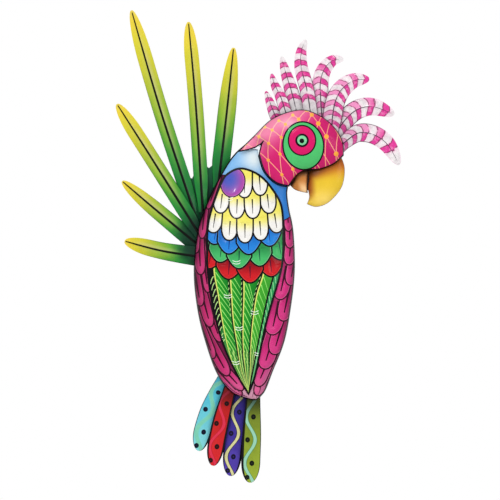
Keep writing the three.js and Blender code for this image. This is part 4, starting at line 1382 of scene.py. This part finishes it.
head_print.append((np.array(NOTCH_RIGHT + NOTCH_LEFT[1:] + [(-6, 40), (9, 40)]), notch_colour, HEAD_RISE))
for line, wide in ((HEAD_SIDES[0], 1.8), (HEAD_SIDES[1], 2.8), (HEAD_SIDES[2][:4], 2.8), (NOTCH_RIGHT, 1.1),
                   (NOTCH_LEFT, 1.1)):
    head_print.append((stroke(spline(line, 8), wide, wide), INK, HEAD_RISE))


def eye_swell(points):
    """How far the eye bulges"""
    away = np.hypot(points[:, 0] - EYE[0], points[:, 1] - EYE[1])
    return 0.9 * np.exp(-((away / 4.2) ** 4))


head_section = dome_section(head_outline, HEAD_CENTRE, HEAD_DEPTH, NAPE)
head_mesh = printed_sheet("head_pressing", head_outline, head_print, head_section, HEAD_RIM,
                          enamel["head_enamel"], (0.0, INK), swell=eye_swell, fine=NOTCH_LEFT)
piece("head_pressing", head_mesh, "head_shell")

# Studio
# A pale floor below the hanging piece, soft daylight and a white background all round,
# a broad lamp from the upper left, a weaker one from the right, a small one for glints
# and one behind for the back.
floor_mesh = bpy.data.meshes.new("floor")
FLOOR = -0.36
floor_mesh.from_pydata([(-1.5, -1.2, FLOOR), (1.5, -1.2, FLOOR), (1.5, 0.6, FLOOR), (-1.5, 0.6, FLOOR)], [],
                       [(0, 1, 2, 3)])
floor_mesh.materials.append(painted("floor_white", card(236, 236, 234), mottle=0.01, gloss=0.7, coat=0.0))
floor = bpy.data.objects.new("floor", floor_mesh)
scene.collection.objects.link(floor)


def lamp(name, place, aim, size, power):
    """A round lamp that points at a place"""
    light = bpy.data.lights.new(name, "AREA")
    light.shape, light.size, light.energy = "DISK", size, power
    made = bpy.data.objects.new(name, light)
    made.location = place
    made.rotation_euler = (Vector(aim) - Vector(place)).to_track_quat("-Z", "Y").to_euler()
    scene.collection.objects.link(made)


MIDDLE = (0.004, -0.012, -0.032)
lamp("broad_lamp", (-1.3, -2.2, 1.7), MIDDLE, 2.4, 38)
lamp("side_lamp", (1.8, -1.8, 0.4), MIDDLE, 1.2, 14)
lamp("glint_lamp", (-0.5, -1.9, 1.0), MIDDLE, 0.12, 6)
lamp("back_lamp", (0.6, 2.2, 1.0), MIDDLE, 1.5, 20)

world = bpy.data.worlds.new("studio")
scene.world = world
world.use_nodes = True
sky = world.node_tree
sky.nodes.clear()
rays = add_node(sky, "ShaderNodeLightPath")
seen = Flow(sky, rays.outputs["Is Camera Ray"]).sum("MAXIMUM", rays.outputs["Is Glossy Ray"])
seen = seen.sum("MAXIMUM", rays.outputs["Is Transmission Ray"])
daylight = add_node(sky, "ShaderNodeBackground", {"Color": (1, 1, 1, 1), "Strength": 0.5})
white = add_node(sky, "ShaderNodeBackground", {"Color": (1, 1, 1, 1), "Strength": 1.0})
either = add_node(sky, "ShaderNodeMixShader", {0: seen, 1: daylight.outputs[0], 2: white.outputs[0]})
add_node(sky, "ShaderNodeOutputWorld", {0: either.outputs[0]})

camera_data = bpy.data.cameras.new("camera")
camera_data.sensor_width, camera_data.lens = 36, 450  # 0.4 m across at 5 m
camera_data.clip_end = 50
camera = bpy.data.objects.new("camera", camera_data)
camera.location = (MIDDLE[0], -5.0, MIDDLE[2])
camera.rotation_euler = (math.pi / 2, 0, 0)
scene.collection.objects.link(camera)
scene.camera = camera
scene.view_settings.view_transform = "Standard"
